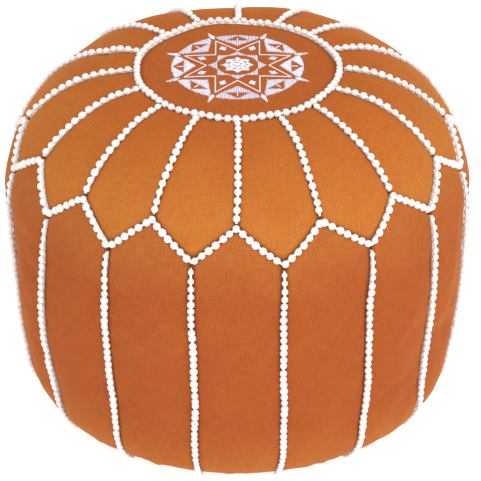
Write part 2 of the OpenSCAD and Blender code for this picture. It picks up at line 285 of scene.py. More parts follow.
@dataclass(frozen=True)
class WoundCotton(Finish):
    """Cotton bead cord, wound and bleached: chalky white, with fine turns of yarn round each bead."""

    name: str
    white: str = "#FDFCFB"
    shaded: str = "#F0EEEC"
    turn: float = 1.3 * MM

    def draw(self, tree: bpy.types.NodeTree) -> bpy.types.Node:
        """Draws turns of yarn, with a little grey of painted shade between them.

        Args:
            tree: The material's node tree.

        Returns:
            The shader node.
        """
        place = add_node(tree, "TexCoord").outputs["Object"]
        winding = {"Vector": place, "Scale": WAVE_REPEAT / self.turn, "Distortion": 2.5}
        winding |= {"Detail": 1.5, "Detail Scale": 2.0}
        turns = add_node(tree, "TexWave", winding, bands_direction="DIAGONAL")
        wear = add_node(tree, "TexNoise", {"Vector": place, "Scale": 1 / (25 * MM), "Detail": 2.0})
        factors = {0: turns.outputs["Fac"], 1: wear.outputs["Fac"]}
        both = add_node(tree, "Math", factors, operation="MULTIPLY")
        tone = add_node(tree, "MapRange", {"Value": both.outputs[0], "From Max": 0.55})
        colour = add_node(
            tree,
            "Mix",
            {0: tone.outputs[0], FIRST: linear(self.shaded), SECOND: linear(self.white)},
            data_type="RGBA",
        )
        return add_node(
            tree,
            "BsdfPrincipled",
            {
                "Base Color": colour.outputs[MIXED],
                "Roughness": 0.8,
                "IOR": 1.46,
                "Specular IOR Level": 0.3,
                "Sheen Weight": 0.2,
                "Normal": self.bump(tree, turns.outputs["Fac"], 0.25 * MM, 0.6),
            },
        )


@dataclass(frozen=True)
class StitchedThread(Finish):
    """Rayon thread, laid as stitches: smooth twisted filaments with a soft shine along each stitch."""

    name: str
    bright: str
    dull: str
    roughness: float = 0.42
    ply: float = 0.9 * MM

    def draw(self, tree: bpy.types.NodeTree) -> bpy.types.Node:
        """Draws a fine twist and a slow change from bright to dull.

        Args:
            tree: The material's node tree.

        Returns:
            The shader node.
        """
        place = add_node(tree, "TexCoord").outputs["Object"]
        filaments = {"Vector": place, "Scale": 1 / self.ply, "Detail": 2.0, "Roughness": 0.6}
        twist = add_node(tree, "TexNoise", filaments)
        colour = add_node(
            tree,
            "Mix",
            {0: twist.outputs["Fac"], FIRST: linear(self.dull), SECOND: linear(self.bright)},
            data_type="RGBA",
        )
        return add_node(
            tree,
            "BsdfPrincipled",
            {
                "Base Color": colour.outputs[MIXED],
                "Roughness": self.roughness,
                "IOR": 1.5,
                "Specular IOR Level": 0.4,
                "Sheen Weight": 0.1,
                "Normal": self.bump(tree, twist.outputs["Fac"], 0.12 * MM, 0.5),
            },
        )


@dataclass(frozen=True)
class SoftCloth(Finish):
    """Unbleached calico or cotton wadding: dull cream, flecked with seed and fluff."""

    name: str
    light: str
    dark: str
    fleck: float
    relief: float

    def draw(self, tree: bpy.types.NodeTree) -> bpy.types.Node:
        """Draws flecks in two sizes over a cream ground.

        Args:
            tree: The material's node tree.

        Returns:
            The shader node.
        """
        place = add_node(tree, "TexCoord").outputs["Object"]
        flecks = {"Vector": place, "Scale": 1 / self.fleck, "Detail": 6.0, "Roughness": 0.7}
        fluff = add_node(tree, "TexNoise", flecks)
        contrast = {"Value": fluff.outputs["Fac"], "From Min": 0.35, "From Max": 0.65}
        spread = add_node(tree, "MapRange", contrast)
        colour = add_node(
            tree,
            "Mix",
            {0: spread.outputs[0], FIRST: linear(self.dark), SECOND: linear(self.light)},
            data_type="RGBA",
        )
        return add_node(
            tree,
            "BsdfPrincipled",
            {
                "Base Color": colour.outputs[MIXED],
                "Roughness": 0.95,
                "IOR": 1.46,
                "Sheen Weight": 0.3,
                "Normal": self.bump(tree, fluff.outputs["Fac"], self.relief, 0.8),
            },
        )


@dataclass(frozen=True)
class AgedBrass(Finish):
    """Cast and tumbled brass, let go brown: dull gold on the rubbed parts, darker in random patches."""

    name: str = "brass_cast_aged"
    rubbed: str = "#B8935A"
    brown: str = "#6E5330"

    def draw(self, tree: bpy.types.NodeTree) -> bpy.types.Node:
        """Draws patches of tarnish and fine tumbling marks.

        Args:
            tree: The material's node tree.

        Returns:
            The shader node.
        """
        place = add_node(tree, "TexCoord").outputs["Object"]
        tarnish = {"Vector": place, "Scale": 1 / (5 * MM), "Detail": 5.0, "Roughness": 0.65}
        patches = add_node(tree, "TexNoise", tarnish)
        contrast = {"Value": patches.outputs["Fac"], "From Min": 0.38, "From Max": 0.62}
        spread = add_node(tree, "MapRange", contrast)
        colour = add_node(
            tree,
            "Mix",
            {0: spread.outputs[0], FIRST: linear(self.brown), SECOND: linear(self.rubbed)},
            data_type="RGBA",
        )
        rubbed = {"Value": patches.outputs["Fac"], "To Min": 0.5, "To Max": 0.28}
        gloss = add_node(tree, "MapRange", rubbed)
        marks = add_node(tree, "TexNoise", {"Vector": place, "Scale": 1 / (0.6 * MM), "Detail": 2.0})
        return add_node(
            tree,
            "BsdfPrincipled",
            {
                "Base Color": colour.outputs[MIXED],
                "Metallic": 1.0,
                "Roughness": gloss.outputs[0],
                "Normal": self.bump(tree, marks.outputs["Fac"], 0.04 * MM, 0.5),
            },
        )


@dataclass(frozen=True)
class WovenTape(Finish):
    """Polyester zip tape, woven in a fine twill and dyed: flatter and a little shinier than canvas."""

    name: str
    dye: str = "#AE5A2A"
    rib: float = 1.2 * MM

    def draw(self, tree: bpy.types.NodeTree) -> bpy.types.Node:
        """Draws slanting ribs.

        Args:
            tree: The material's node tree.

        Returns:
            The shader node.
        """
        place = add_node(tree, "TexCoord").outputs["Object"]
        twill = {"Vector": place, "Scale": WAVE_REPEAT / self.rib, "Distortion": 0.4}
        ribs = add_node(tree, "TexWave", twill, bands_direction="DIAGONAL")
        tone = add_node(tree, "MapRange", {"Value": ribs.outputs["Fac"], "To Min": 0.82, "To Max": 1.1})
        scale = {0: linear(self.dye)[:3], "Scale": tone.outputs[0]}
        toned = add_node(tree, "VectorMath", scale, operation="SCALE")
        return add_node(
            tree,
            "BsdfPrincipled",
            {
                "Base Color": toned.outputs[0],
                "Roughness": 0.65,
                "IOR": 1.5,
                "Normal": self.bump(tree, ribs.outputs["Fac"], 0.15 * MM, 0.7),
            },
        )


@dataclass(frozen=True)
class PaleFloor(Finish):
    """Matt white studio board, painted: near white, so the light that it throws back is soft."""

    name: str = "painted_studio_floor"
    paint: str = "#BFBDBA"
    glow: float = 0.85

    def draw(self, tree: bpy.types.NodeTree) -> bpy.types.Node:
        """Draws a plain white surface with a faint roller texture.

        Args:
            tree: The material's node tree.

        Returns:
            The shader node.
        """
        place = add_node(tree, "TexCoord").outputs["Object"]
        roller = add_node(tree, "TexNoise", {"Vector": place, "Scale": 1 / (4 * MM), "Detail": 2.0})
        return add_node(
            tree,
            "BsdfPrincipled",
            {
                "Base Color": linear(self.paint),
                "Roughness": 0.9,
                "Specular IOR Level": 0.1,
                "Emission Color": linear("#FFFFFF"),
                "Emission Strength": self.glow,
                "Normal": self.bump(tree, roller.outputs["Fac"], 0.05 * MM, 0.3),
            },
        )


# The petals' dye is yellower than the sides': the yellow is painted light, the warm cast of the key light
# that they face. The sides keep the redder dye.
PETAL_CANVAS = Canvas("canvas_woven_petals", "#B96229", "#C07231", "#66300F")
SIDE_CANVAS = Canvas("canvas_woven_sides", "#A85427", "#B2652F", "#5A250D")
MEDALLION_CANVAS = Canvas("canvas_woven_medallion", "#B45D29", "#BC662E", "#66300F")
BASE_CANVAS = Canvas("canvas_woven_base", "#A85427", "#B2652F", "#5A250D")
BEAD_COTTON = WoundCotton("cotton_wound_bead_cord")
WHITE_THREAD = StitchedThread("rayon_satin_stitch_white", "#FBF9FC", "#EDE9F2")
# A real underlay thread, dyed lilac-grey so that it also paints the shade in the gaps between the white satin
# stitches.
UNDERLAY_GAP_SHADE_THREAD = StitchedThread("rayon_underlay_lilac_gap_shade", "#C4BBD6", "#A99FC4", 0.6)
MARK_THREAD = StitchedThread("rayon_marks_rust", "#8C4A34", "#6E3430", 0.6)
SEWING_THREAD = StitchedThread("polyester_topstitch_rust", "#B4602D", "#93481D", 0.5, 0.5 * MM)
CALICO = SoftCloth("calico_unbleached_bag", "#EBE1CC", "#D3C4A4", 3 * MM, 0.2 * MM)
WADDING = SoftCloth("cotton_wadding_carded", "#F4F0E6", "#DDD5C4", 12 * MM, 1.5 * MM)
TAPE = WovenTape("polyester_woven_zip_tape")
BRASS = AgedBrass("brass_cast_aged")


# ---- Mesh making -------------------------------------------------------------------------


@dataclass
class MeshPile:
    """Gathers points and faces until they become one mesh object."""

    points: list[Array] = field(default_factory=list)
    faces: list[list[int]] = field(default_factory=list)
    finish_of_face: list[int] = field(default_factory=list)
    places: list[Array] = field(default_factory=list)
    count: int = 0

    def add(
        self, points: Array, faces: Iterable[Sequence[int]], finish: int = 0, places: Array | None = None
    ) -> None:
        """Adds points and the faces between them.

        Args:
            points: Points, one row each.
            faces: Corners of each face, counted from this batch's first point.
            finish: Number of the finish that the faces take.
            places: Place of each point on the flat cloth, in metres.
        """
        points = np.asarray(points, float).reshape(-1, 3)
        shifted = [[i + self.count for i in face] for face in faces]
        self.points.append(points)
        self.faces += shifted
        self.finish_of_face += [finish] * len(shifted)
        self.places.append(np.zeros((len(points), 2)) if places is None else places.reshape(-1, 2))
        self.count += len(points)

    def add_grid(
        self,
        grid: Array,
        finish: int = 0,
        places: Array | None = None,
        around: bool = False,
        looped: bool = False,
        fans: tuple[bool, bool] = (False, False),
    ) -> None:
        """Adds a grid of points with a four-sided face in each cell.

        Args:
            grid: Points in rows and columns.
            finish: Number of the finish.
            places: Places on the flat cloth, in the same rows and columns.
            around: Whether the last column joins the first.
            looped: Whether the last row joins the first.
            fans: Whether the first and the last row are closed by triangles that meet in the middle.
        """
        rows, cols = grid.shape[:2]
        numbers = np.arange(rows * cols).reshape(rows, cols)
        numbers = np.concatenate([numbers, numbers[:, :1]], axis=1) if around else numbers
        numbers = np.concatenate([numbers, numbers[:1]]) if looped else numbers
        cells = np.stack([numbers[:-1, :-1], numbers[1:, :-1], numbers[1:, 1:], numbers[:-1, 1:]], -1)
        faces = cells.reshape(-1, 4).tolist()
        points = grid.reshape(-1, 3)
        flat = np.zeros((rows * cols, 2)) if places is None else places.reshape(-1, 2)
        for wanted, row, flipped in ((fans[0], numbers[0], False), (fans[1], numbers[-1], True)):
            if wanted:
                middle = len(points)
                points = np.concatenate([points, points[row[:-1]].mean(0, keepdims=True)])
                flat = np.concatenate([flat, flat[row[:-1]].mean(0, keepdims=True)])
                pairs = zip(row[:-1].tolist(), row[1:].tolist())
                faces += [(middle, q, p) if flipped else (middle, p, q) for p, q in pairs]
        self.add(points, faces, finish, flat)

    def build(self, name: str, finishes: Sequence[Finish], **marks: Array) -> bpy.types.Object:
        """Makes the mesh object.

        Args:
            name: The piece's name.
            finishes: Finishes in the order of their numbers.
            **marks: Values from nought to one at each point, which the finishes read by name.

        Returns:
            The new object, linked to the scene.
        """
        mesh = bpy.data.meshes.new(name)
        mesh.from_pydata(np.concatenate(self.points).tolist(), [], self.faces)
        places = np.concatenate(self.places)
        layer = mesh.uv_layers.new(name=CLOTH_UV)
        corners = np.zeros(len(mesh.loops), np.int32)
        mesh.loops.foreach_get("vertex_index", corners)
        layer.data.foreach_set("uv", places[corners].astype(np.float32).ravel())
        mesh.polygons.foreach_set("use_smooth", [True] * len(mesh.polygons))
        mesh.polygons.foreach_set("material_index", self.finish_of_face)
        for mark, values in marks.items():
            attribute = mesh.attributes.new(mark, "FLOAT", "POINT")
            attribute.data.foreach_set("value", values.astype(np.float32).ravel())
        for finish in finishes:
            mesh.materials.append(finish.material())
        mesh.validate()
        mesh.update()
        made = bpy.data.objects.new(name, mesh)
        bpy.context.scene.collection.objects.link(made)
        return made


def mount(piece: bpy.types.Object, slot: str, *nodes: str, body: str = COVER) -> bpy.types.Object:
    """Puts a piece on its body in place of its frame nodes, and reports it.

    Args:
        piece: The finished piece.
        slot: Not used.
        *nodes: Frame nodes that the piece stands for.
        body: The frame body that it rides on.

    Returns:
        The same piece.
    """
    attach(piece, body)
    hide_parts(*nodes)
    log.info("%s: %d faces, stands for %s", piece.name, len(piece.data.polygons), ", ".join(nodes))
    return piece


def thicken(piece: bpy.types.Object, thickness: float, levels: int = 0) -> None:
    """Gives a sheet its thickness inwards, after smoothing it.

    Args:
        piece: The sheet.
        thickness: Thickness in metres.
        levels: Times that each face is divided.
    """
    if levels:
        smooth = piece.modifiers.new("smooth", "SUBSURF")
        smooth.levels = smooth.render_levels = levels
    solid = piece.modifiers.new("thickness", "SOLIDIFY")
    solid.thickness = thickness
    solid.offset = -1.0
    solid.use_quality_normals = True


# ---- Shape of the stuffed cover ----------------------------------------------------------


@dataclass
class Outline:
    """Side view of the cover: crown, shoulder, side and foot arcs, each tangent to the next."""

    radius: float
    height: float
    waist: float = 265 * MM
    crown_arc: float = 1200 * MM
    shoulder_arc: float = 137 * MM
    side_arc: float = 1500 * MM
    foot_arc: float = 68 * MM
    arcs: list[tuple[Array, float, float, float]] = field(init=False)

    def __post_init__(self) -> None:
        """Finds the arcs' centres and the directions where one hands over to the next."""
        crown = np.array([0.0, self.height - self.crown_arc])
        side = np.array([self.radius - self.side_arc, self.waist])
        inset = self.shoulder_arc
        shoulder = self.crossing(crown, self.crown_arc - inset, side, self.side_arc - inset)
        rise = self.waist - self.foot_arc
        foot = np.array([side[0] + math.sqrt((self.side_arc - self.foot_arc) ** 2 - rise**2), self.foot_arc])
        turns = [math.atan2(*(b - a)[::-1]) for a, b in ((crown, shoulder), (side, shoulder), (side, foot))]
        ends = [math.pi / 2, *turns, -math.pi / 2]
        radii = (self.crown_arc, self.shoulder_arc, self.side_arc, self.foot_arc)
        self.arcs = list(zip((crown, shoulder, side, foot), radii, ends, ends[1:]))

    @staticmethod
    def crossing(a: Array, ra: float, b: Array, rb: float) -> Array:
        """Finds where two circles cross, on the side away from the axis.

        Args:
            a: Centre of the first circle.
            ra: Its radius.
            b: Centre of the second circle.
            rb: Its radius.

        Returns:
            The crossing, as radius and height.
        """
        gap = float(np.linalg.norm(a - b))
        along = (a - b) / gap
        t = (rb**2 - ra**2 + gap**2) / (2 * gap)
        s = math.sqrt(rb**2 - t**2)
        across = np.array([-along[1], along[0]])
        return b + along * t + across * s * (1 if along[1] < 0 else -1)

    def at(self, run: Array) -> tuple[Array, Array, Array, Array]:
        """Finds points on the outline.

        Args:
            run: Distance from the crown along the outline.

        Returns:
            Radius, height, and the outward direction's two parts.
        """
        run = np.asarray(run, float)
        angle, size = np.full(run.shape, math.pi / 2), np.zeros(run.shape)
        centre = np.zeros(run.shape + (2,))
        start = 0.0
        for middle, radius, first, last in self.arcs:
            length = radius * (first - last)
            here = run >= start - 1e-12
            angle = np.where(here, first - np.clip(run - start, 0, length) / radius, angle)
            size = np.where(here, radius, size)
            centre = np.where(here[..., None], middle, centre)
            start += length
        return (
            centre[..., 0] + size * np.cos(angle) - np.maximum(run - start, 0),
            centre[..., 1] + size * np.sin(angle),
            np.cos(angle),
            np.sin(angle),
        )

    def run_to(self, arc: int, direction: float) -> float:
        """Gives the distance from the crown to a direction on one of the arcs."""
        before = sum(r * (first - last) for _, r, first, last in self.arcs[:arc])
        return before + self.arcs[arc][1] * (self.arcs[arc][2] - direction)


@dataclass
class Handwork:
    """Unevenness of a thing sewn by hand, made of a few seeded waves round and down the cover."""

    seed: int
    size: float
    turns: tuple[int, int]
    reach: tuple[float, float]
    waves: int = 14
    parts: list[tuple[float, int, float, float]] = field(init=False)

    def __post_init__(self) -> None:
        """Draws the waves."""
        rng = np.random.default_rng(self.seed)
        self.parts = [
            (
                float(rng.uniform(0.5, 1.0)),
                int(rng.integers(self.turns[0], self.turns[1] + 1)),
                float(rng.choice([-1, 1]) * 2 * math.pi / rng.uniform(*self.reach)),
                float(rng.uniform(0, 2 * math.pi)),
            )
            for _ in range(self.waves)
        ]

    def at(self, around: Array, run: Array) -> Array:
        """Gives the offset at an angle round the cover and a distance down it."""
        total = sum(a * np.sin(m * around + k * run + p) for a, m, k, p in self.parts)
        return self.size * total / math.sqrt(sum(a * a for a, *_ in self.parts) / 2)


@dataclass
class Form:
    """The stuffed shape that cloth, cord and embroidery all lie on."""

    panels: int = 16
    peak_radius: float = 226 * MM
    valley_height: float = 300 * MM
    seam_sink: float = 1.8 * MM
    outline: Outline = field(init=False)
    ring: float = field(init=False)
    peak: float = field(init=False)
    valley: float = field(init=False)
    hem: float = field(init=False)

    def __post_init__(self) -> None:
        """Takes the sizes from the frame and finds where the seams lie on the outline."""
        half_slot = 1 * MM  # The medallion's cloth ends this far short of its seam.
        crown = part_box("medallion")[1]
        side_low, side_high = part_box("side_panel_1")
        self.outline = Outline(side_high.x, crown.z)
        arcs = self.outline.arcs
        self.ring = self.outline.run_to(0, math.acos((crown.x + half_slot) / arcs[0][1]))
        self.peak = self.outline.run_to(1, math.acos((self.peak_radius - arcs[1][0][0]) / arcs[1][1]))
        self.valley = self.outline.run_to(1, math.asin((self.valley_height - arcs[1][0][1]) / arcs[1][1]))
        self.hem = self.outline.run_to(3, -math.asin((arcs[3][1] - side_low.z) / arcs[3][1]))
        self.foot_start = float(arcs[3][0][0])
        self.sway = Handwork(11, 1.5 * MM, (3, 15), (0.16, 0.5))
        self.slip = Handwork(23, 1.6 * MM, (2, 13), (0.3, 0.8))
        self.lump = Handwork(37, 1.3 * MM, (2, 9), (0.15, 0.5))

    @property
    def pitch(self) -> float:
        """Angle from one seam to the next."""
        return 2 * math.pi / self.panels

    def zigzag(self, around: Array) -> Array:
        """Gives the distance down to the zigzag seam at an angle round the cover."""
        share = np.abs(((np.asarray(around) / self.pitch + 0.5) % 1.0) - 0.5) * 2
        return self.peak + (self.valley - self.peak) * share

    def surface(self, around: Array, run: Array, lift: Array | float = 0.0) -> Array:
        """Finds points on the stuffed form.

        Args:
            around: Angles about the axis, in radians from +X.
            run: Distances from the crown along the outline.
            lift: Distance outwards from the form.

        Returns:
            The points, in metres.
        """
        around, run = np.broadcast_arrays(np.asarray(around, float), np.asarray(run, float))
        free = ease(0.6 * self.ring, self.ring + 70 * MM, run)
        free = free * (1 - ease(self.hem - 80 * MM, self.hem - 10 * MM, run))
        reach = run + self.slip.at(around, run) * free
        radius, height, out, up = self.outline.at(reach)
        turned = around + self.sway.at(around, run) * free / np.maximum(radius, 60 * MM)
        raised = np.asarray(lift) + self.lump.at(around, run) * free
        flat = radius + out * raised
        return np.stack([flat * np.cos(turned), flat * np.sin(turned), height + up * raised], -1)

    def outward(self, around: Array, run: Array) -> Array:
        """Gives the outward direction at points on the form."""
        _, _, out, up = self.outline.at(run)
        return np.stack([out * np.cos(around), out * np.sin(around), up], -1)

    def underside(self, x: Array, y: Array, lift: Array | float = 0.0, depth: float = 7 * MM) -> Array:
        """Finds points on the base, which is flat but for the foot's curve and the trough over the zip.

        Args:
            x: Distances along the zip.
            y: Distances across it.
            lift: Distance up from the base's outer face.
            depth: Depth of the trough.

        Returns:
            The points, in metres.
        """
        half_width, half_length, ramp = 12 * MM, 178 * MM, 14 * MM
        beyond = np.clip(np.hypot(x, y) - self.foot_start, 0, self.outline.foot_arc * 0.98)
        foot = self.outline.foot_arc - np.sqrt(self.outline.foot_arc**2 - beyond**2)
        across = 1 - ease(half_width, half_width + ramp, np.abs(y))
        along = 1 - ease(half_length, half_length + ramp, np.abs(x))
        height = np.maximum(foot, depth * across * along) + lift
        return np.stack(np.broadcast_arrays(x, y, height), -1)


# ---- Cloth cover -------------------------------------------------------------------------

POINT, OUTWARD, PLACE, DEPTH = slice(0, 3), slice(3, 6), slice(6, 8), slice(8, 9)


@dataclass
class Hem:
    """How a panel's edges draw back from a seam and turn in to it, and the painted shade there."""

    seam_gap: float = 1.0 * MM
    steps: tuple[float, float] = (0.4 * MM, 0.5 * MM)
    drops: tuple[float, float] = (0.8 * MM, 2.2 * MM)
    painted_shade_reach: float = 5.5 * MM
    painted_shade_share: float = 0.62
    turned_in_shade_share: float = 0.8

    def turn_in(self, points: Array, places: Array) -> tuple[Array, Array, Array]:
        """Turns in all four edges of a panel.

        Args:
            points: The panel's points in rows and columns, with its edges on the seams.
            places: The same points on the flat cloth.

        Returns:
            Points, places and painted seam shade, with two more rows and columns at every edge.
        """
        outward = unit(np.cross(np.gradient(points, axis=0), np.gradient(points, axis=1)))
        sheet = np.concatenate([points, outward, places, np.zeros(points.shape[:2] + (1,))], -1)
        sheet = self.one_way(sheet)
        sheet = self.one_way(sheet.swapaxes(0, 1)).swapaxes(0, 1)
        turned = sheet[..., POINT] - sheet[..., OUTWARD] * sheet[..., DEPTH]
        # Painted shade darkens the cloth as it turns in and drops into the seam.
        turned_in_shade = np.clip(sheet[..., DEPTH][..., 0] / self.drops[0], 0, 1) * self.turned_in_shade_share
        shade = np.maximum(self.seam_shading(sheet), turned_in_shade)
        return turned, sheet[..., PLACE], shade

    def one_way(self, sheet: Array) -> Array:
        """Adds two turned-in lines before the first line of a sheet and after its last.

        Args:
            sheet: Points, outward directions, places and depths, in rows and columns.

        Returns:
            The longer sheet.
        """
        parts = []
        for edge, inner in ((sheet[0], sheet[1]), (sheet[-1], sheet[-2])):
            away = unit(inner[:, POINT] - edge[:, POINT])
            edge[:, POINT] += away * self.seam_gap
            lines = []
            for step, drop in zip(self.steps, self.drops):
                line = edge.copy()
                line[:, POINT] -= away * step
                line[:, PLACE] += (edge - inner)[:, PLACE] * (drop / self.painted_shade_reach)
                line[:, DEPTH] = np.maximum(edge[:, DEPTH], drop)
                lines.append(line)
            parts.append(lines)
        return np.concatenate([parts[0][::-1], sheet, parts[1]])

    def seam_shading(self, sheet: Array) -> Array:
        """Paints shade on the last few millimetres before a seam, where the cloth dips.

        Args:
            sheet: The sheet with its turned-in lines.

        Returns:
            Painted shade from nought to one at each point.
        """
        points = sheet[..., POINT]
        near = np.zeros(points.shape[:2])
        for edge in (points[2:3], points[-3:-2], points[:, 2:3], points[:, -3:-2]):
            near = np.maximum(near, 1 - ease(0, self.painted_shade_reach, np.linalg.norm(points - edge, axis=-1)))
        return near * self.painted_shade_share


class Band(Enum):
    """Which ring of panels a panel belongs to."""

    PETAL = "petal"
    SIDE = "side_panel"


@dataclass
class Cover:
    """The petals and side panels, cut from one sheet that is blown out between its sewn lines."""

    form: Form
    hem: Hem = field(default_factory=Hem)
    columns: int = 16
    petal_rows: int = 22
    side_rows: int = 54
    cloth: float = 1.2 * MM
    ease_share: float = 0.012
    cap: float = 5.5 * MM
    crown_height: float = 5 * MM
    frames: int = 22

    def __post_init__(self) -> None:
        """Lays the whole sheet out and blows it up."""
        total = self.columns * self.form.panels
        self.around = np.arange(total) * self.form.pitch / self.columns
        zigzag = self.form.zigzag(self.around)
        upper = np.linspace(0, 1, self.petal_rows + 1)[:, None]
        lower = np.linspace(0, 1, self.side_rows + 1)[1:, None]
        self.run = np.concatenate(
            [self.form.ring + upper * (zigzag - self.form.ring), zigzag + lower * (self.form.hem - zigzag)]
        )
        self.sewn = np.zeros(self.run.shape, bool)
        self.sewn[[0, self.petal_rows, -1]] = True
        self.sewn[: self.petal_rows, :: self.columns] = True
        self.sewn[self.petal_rows :, self.columns // 2 :: self.columns] = True
        self.sheet = self.blown_up()

    def blown_up(self) -> Array:
        """Blows the sheet up against its seams by a cloth simulation.

        Returns:
            Points of the sheet in rows and columns, none moved further than the cap.
        """
        lift = np.where(self.sewn, -self.form.seam_sink, -0.3 * self.form.seam_sink)
        start = self.form.surface(self.around[None, :], self.run, lift)
        pile = MeshPile()
        pile.add_grid(start, around=True)
        sheet = pile.build("sheet_for_stuffing", [])
        pins = sheet.vertex_groups.new(name="sewn")
        pins.add(np.flatnonzero(self.sewn.ravel()).tolist(), 1.0, "REPLACE")
        cloth = sheet.modifiers.new("stuffing", "CLOTH")
        settings = cloth.settings
        settings.quality = 6
        settings.mass = 0.25
        settings.tension_stiffness = settings.compression_stiffness = 30.0
        settings.shear_stiffness = 12.0
        settings.bending_stiffness = 0.8
        settings.air_damping = 3.0
        settings.vertex_group_mass = "sewn"
        settings.use_pressure = True
        settings.uniform_pressure_force = 5.0
        settings.shrink_min = settings.shrink_max = -self.ease_share
        settings.effector_weights.gravity = 0.0
        scene = bpy.context.scene
        for number in range(1, self.frames + 1):
            scene.frame_set(number)
        settled = sheet.evaluated_get(bpy.context.evaluated_depsgraph_get()).data
        points = np.zeros(len(settled.vertices) * 3)
        settled.vertices.foreach_get("co", points)
        scene.frame_set(1)
        bpy.data.objects.remove(sheet)
        moved = points.reshape(start.shape) - start
        far = np.linalg.norm(moved, axis=-1, keepdims=True)
        most, usual = far.max() / MM, np.median(far) / MM
        log.info("stuffing moved the sheet %.1f mm at most, %.1f mm as a rule", most, usual)
        blown = start + moved * np.minimum(1, self.cap / np.maximum(far, 1e-9))
        return blown + self.form.outward(self.around, self.run) * self.folds()[..., None]

    def folds(self) -> Array:
        """Makes slack folds in the sheet: long ones that slant down, and puckers at the foot.

        Returns:
            Height of the folds at each point of the sheet.
        """
        down = np.arange(len(self.run))[:, None]
        share = (self.around / self.form.pitch + np.where(down < self.petal_rows, 0, 0.5)) % 1.0
        inside = np.sin(np.pi * share) ** 0.7
        slanting = Handwork(61, 0.22 * MM, (14, 44), (0.09, 0.22)).at(self.around, self.run)
        puckers = Handwork(67, 0.45 * MM, (40, 110), (0.04, 0.09)).at(self.around, self.run)
        low = ease(self.form.hem - 75 * MM, self.form.hem - 25 * MM, self.run)
        fixed = 1 - ease(self.form.hem - 14 * MM, self.form.hem, self.run)
        sides = ease(self.form.valley, self.form.valley + 90 * MM, self.run)
        return inside * fixed * (slanting * (0.4 + sides) + puckers * low)

    def build(self) -> None:
        """Cuts the sheet into its panels."""
        for band in Band:
            for i in range(self.form.panels):
                self.panel(band, i)

    def panel(self, band: Band, number: int) -> bpy.types.Object:
        """Makes one panel with its edges turned into the seams.

        Args:
            band: The ring of panels.
            number: The panel's place in the ring.

        Returns:
            The panel.
        """
        petal = band is Band.PETAL
        first = number * self.columns - (0 if petal else self.columns // 2)
        cols = np.arange(first, first + self.columns + 1)
        rows = slice(0, self.petal_rows + 1) if petal else slice(self.petal_rows, None)
        run = self.run[rows][:, cols % len(self.around)]
        angle = (cols - cols.mean()) * self.form.pitch / self.columns
        places = np.stack([angle * self.form.outline.at(run)[0], run], -1)
        points, places, shade = self.hem.turn_in(self.sheet[rows][:, cols % len(self.around)], places)
        pile = MeshPile()
        pile.add_grid(points, places=places)
        finish = PETAL_CANVAS if petal else SIDE_CANVAS
        marks = {SEAM_SHADE: shade, PAINTED_LIGHT: self.painted_light(band, places)}
        piece = pile.build(f"{band.value}_{number + 1:02d}_canvas", [finish], **marks)
        thicken(piece, self.cloth, 1)
        mount(piece, "petal_canvas" if petal else "side_canvas", f"{band.value}_{number + 1}")
        return piece

    def painted_light(self, band: Band, places: Array) -> Array:
        """Paints light on a panel as paler dye: on a petal towards the zigzag, on a side panel at the
        shoulder, which faces the key light, and at the foot, which the floor lights.

        Args:
            band: The ring of panels.
            places: Places on the flat cloth, with the distance from the crown second.

        Returns:
            Nought where the dye shows plain, and one where the painted light pales it most.
        """
        run = places[..., 1]
        if band is Band.PETAL:
            return ease(self.form.ring, self.form.valley, run)
        shoulder = 1 - ease(self.form.peak + 10 * MM, self.form.valley + 60 * MM, run)
        foot = ease(self.form.hem - 110 * MM, self.form.hem - 30 * MM, run)
        return np.maximum(shoulder, 0.85 * foot)


@dataclass
class Medallion:
    """The round centre panel, domed over the stuffing."""

    form: Form
    puff: float = 0.6 * MM
    edge_gap: float = 1.0 * MM
    rows: int = 34
    columns: int = 128
    cloth: float = 1.2 * MM

    def crown(self, x: Array, y: Array, lift: Array | float = 0.0) -> Array:
        """Finds points on the domed panel.

        Args:
            x: Distances from the axis along X.
            y: Distances from the axis along Y.
            lift: Distance above the cloth.

        Returns:
            The points, in metres.
        """
        run = np.hypot(x, y)
        share = np.clip(run / self.form.ring, 0, 1)
        rise = (self.puff + self.form.seam_sink) * np.sqrt(1 - share**5) - self.form.seam_sink
        return self.form.surface(np.arctan2(y, x), run, rise + lift)

    def build(self) -> bpy.types.Object:
        """Makes the panel, with its edge turned down into the seam.

        Returns:
            The panel.
        """
        around = np.linspace(0, 2 * math.pi, self.columns, endpoint=False)
        spread = np.sin(np.linspace(0.03, 1, self.rows) * math.pi / 2)
        run = (spread * (self.form.ring - self.edge_gap))[:, None]
        x, y = run * np.cos(around), run * np.sin(around)
        points, places = self.crown(x, y), np.stack([x, y], -1)
        down = np.array([[0, 0, -0.8 * MM], [0, 0, -2.4 * MM]])[:, None]
        points = np.concatenate([points, points[-1:] + down])
        places = np.concatenate([places, places[-1:] * 1.01, places[-1:] * 1.03])
        # Painted shade darkens the panel's rim and its turned-down edge, where the seam shades them.
        edge = np.concatenate([ease(0.93, 1.0, spread) * 0.45, [0.8, 0.9]])
        shade = np.append(np.repeat(edge, self.columns), 0.0)
        pile = MeshPile()
        pile.add_grid(points, places=places, around=True, fans=(True, False))
        piece = pile.build("medallion_canvas", [MEDALLION_CANVAS], **{SEAM_SHADE: shade})
        thicken(piece, self.cloth, 1)
        mount(piece, "medallion_canvas", "medallion")
        return piece


# ---- Beaded seams ------------------------------------------------------------------------


@dataclass
class SeamLine:
    """A sewn line on the form.

    A lean is the angle by which the beads tip down the cover. Sizes run along the line from its
    start to its end, and scale the beads there. Bunching is the share by which the beads stand wider
    apart at the start and closer at the end.
    """

    around: Array
    run: Array
    closed: bool = False
    lean: float = 0.0
    sizes: tuple[float, ...] = (1.0,)
    bunching: float = 0.0


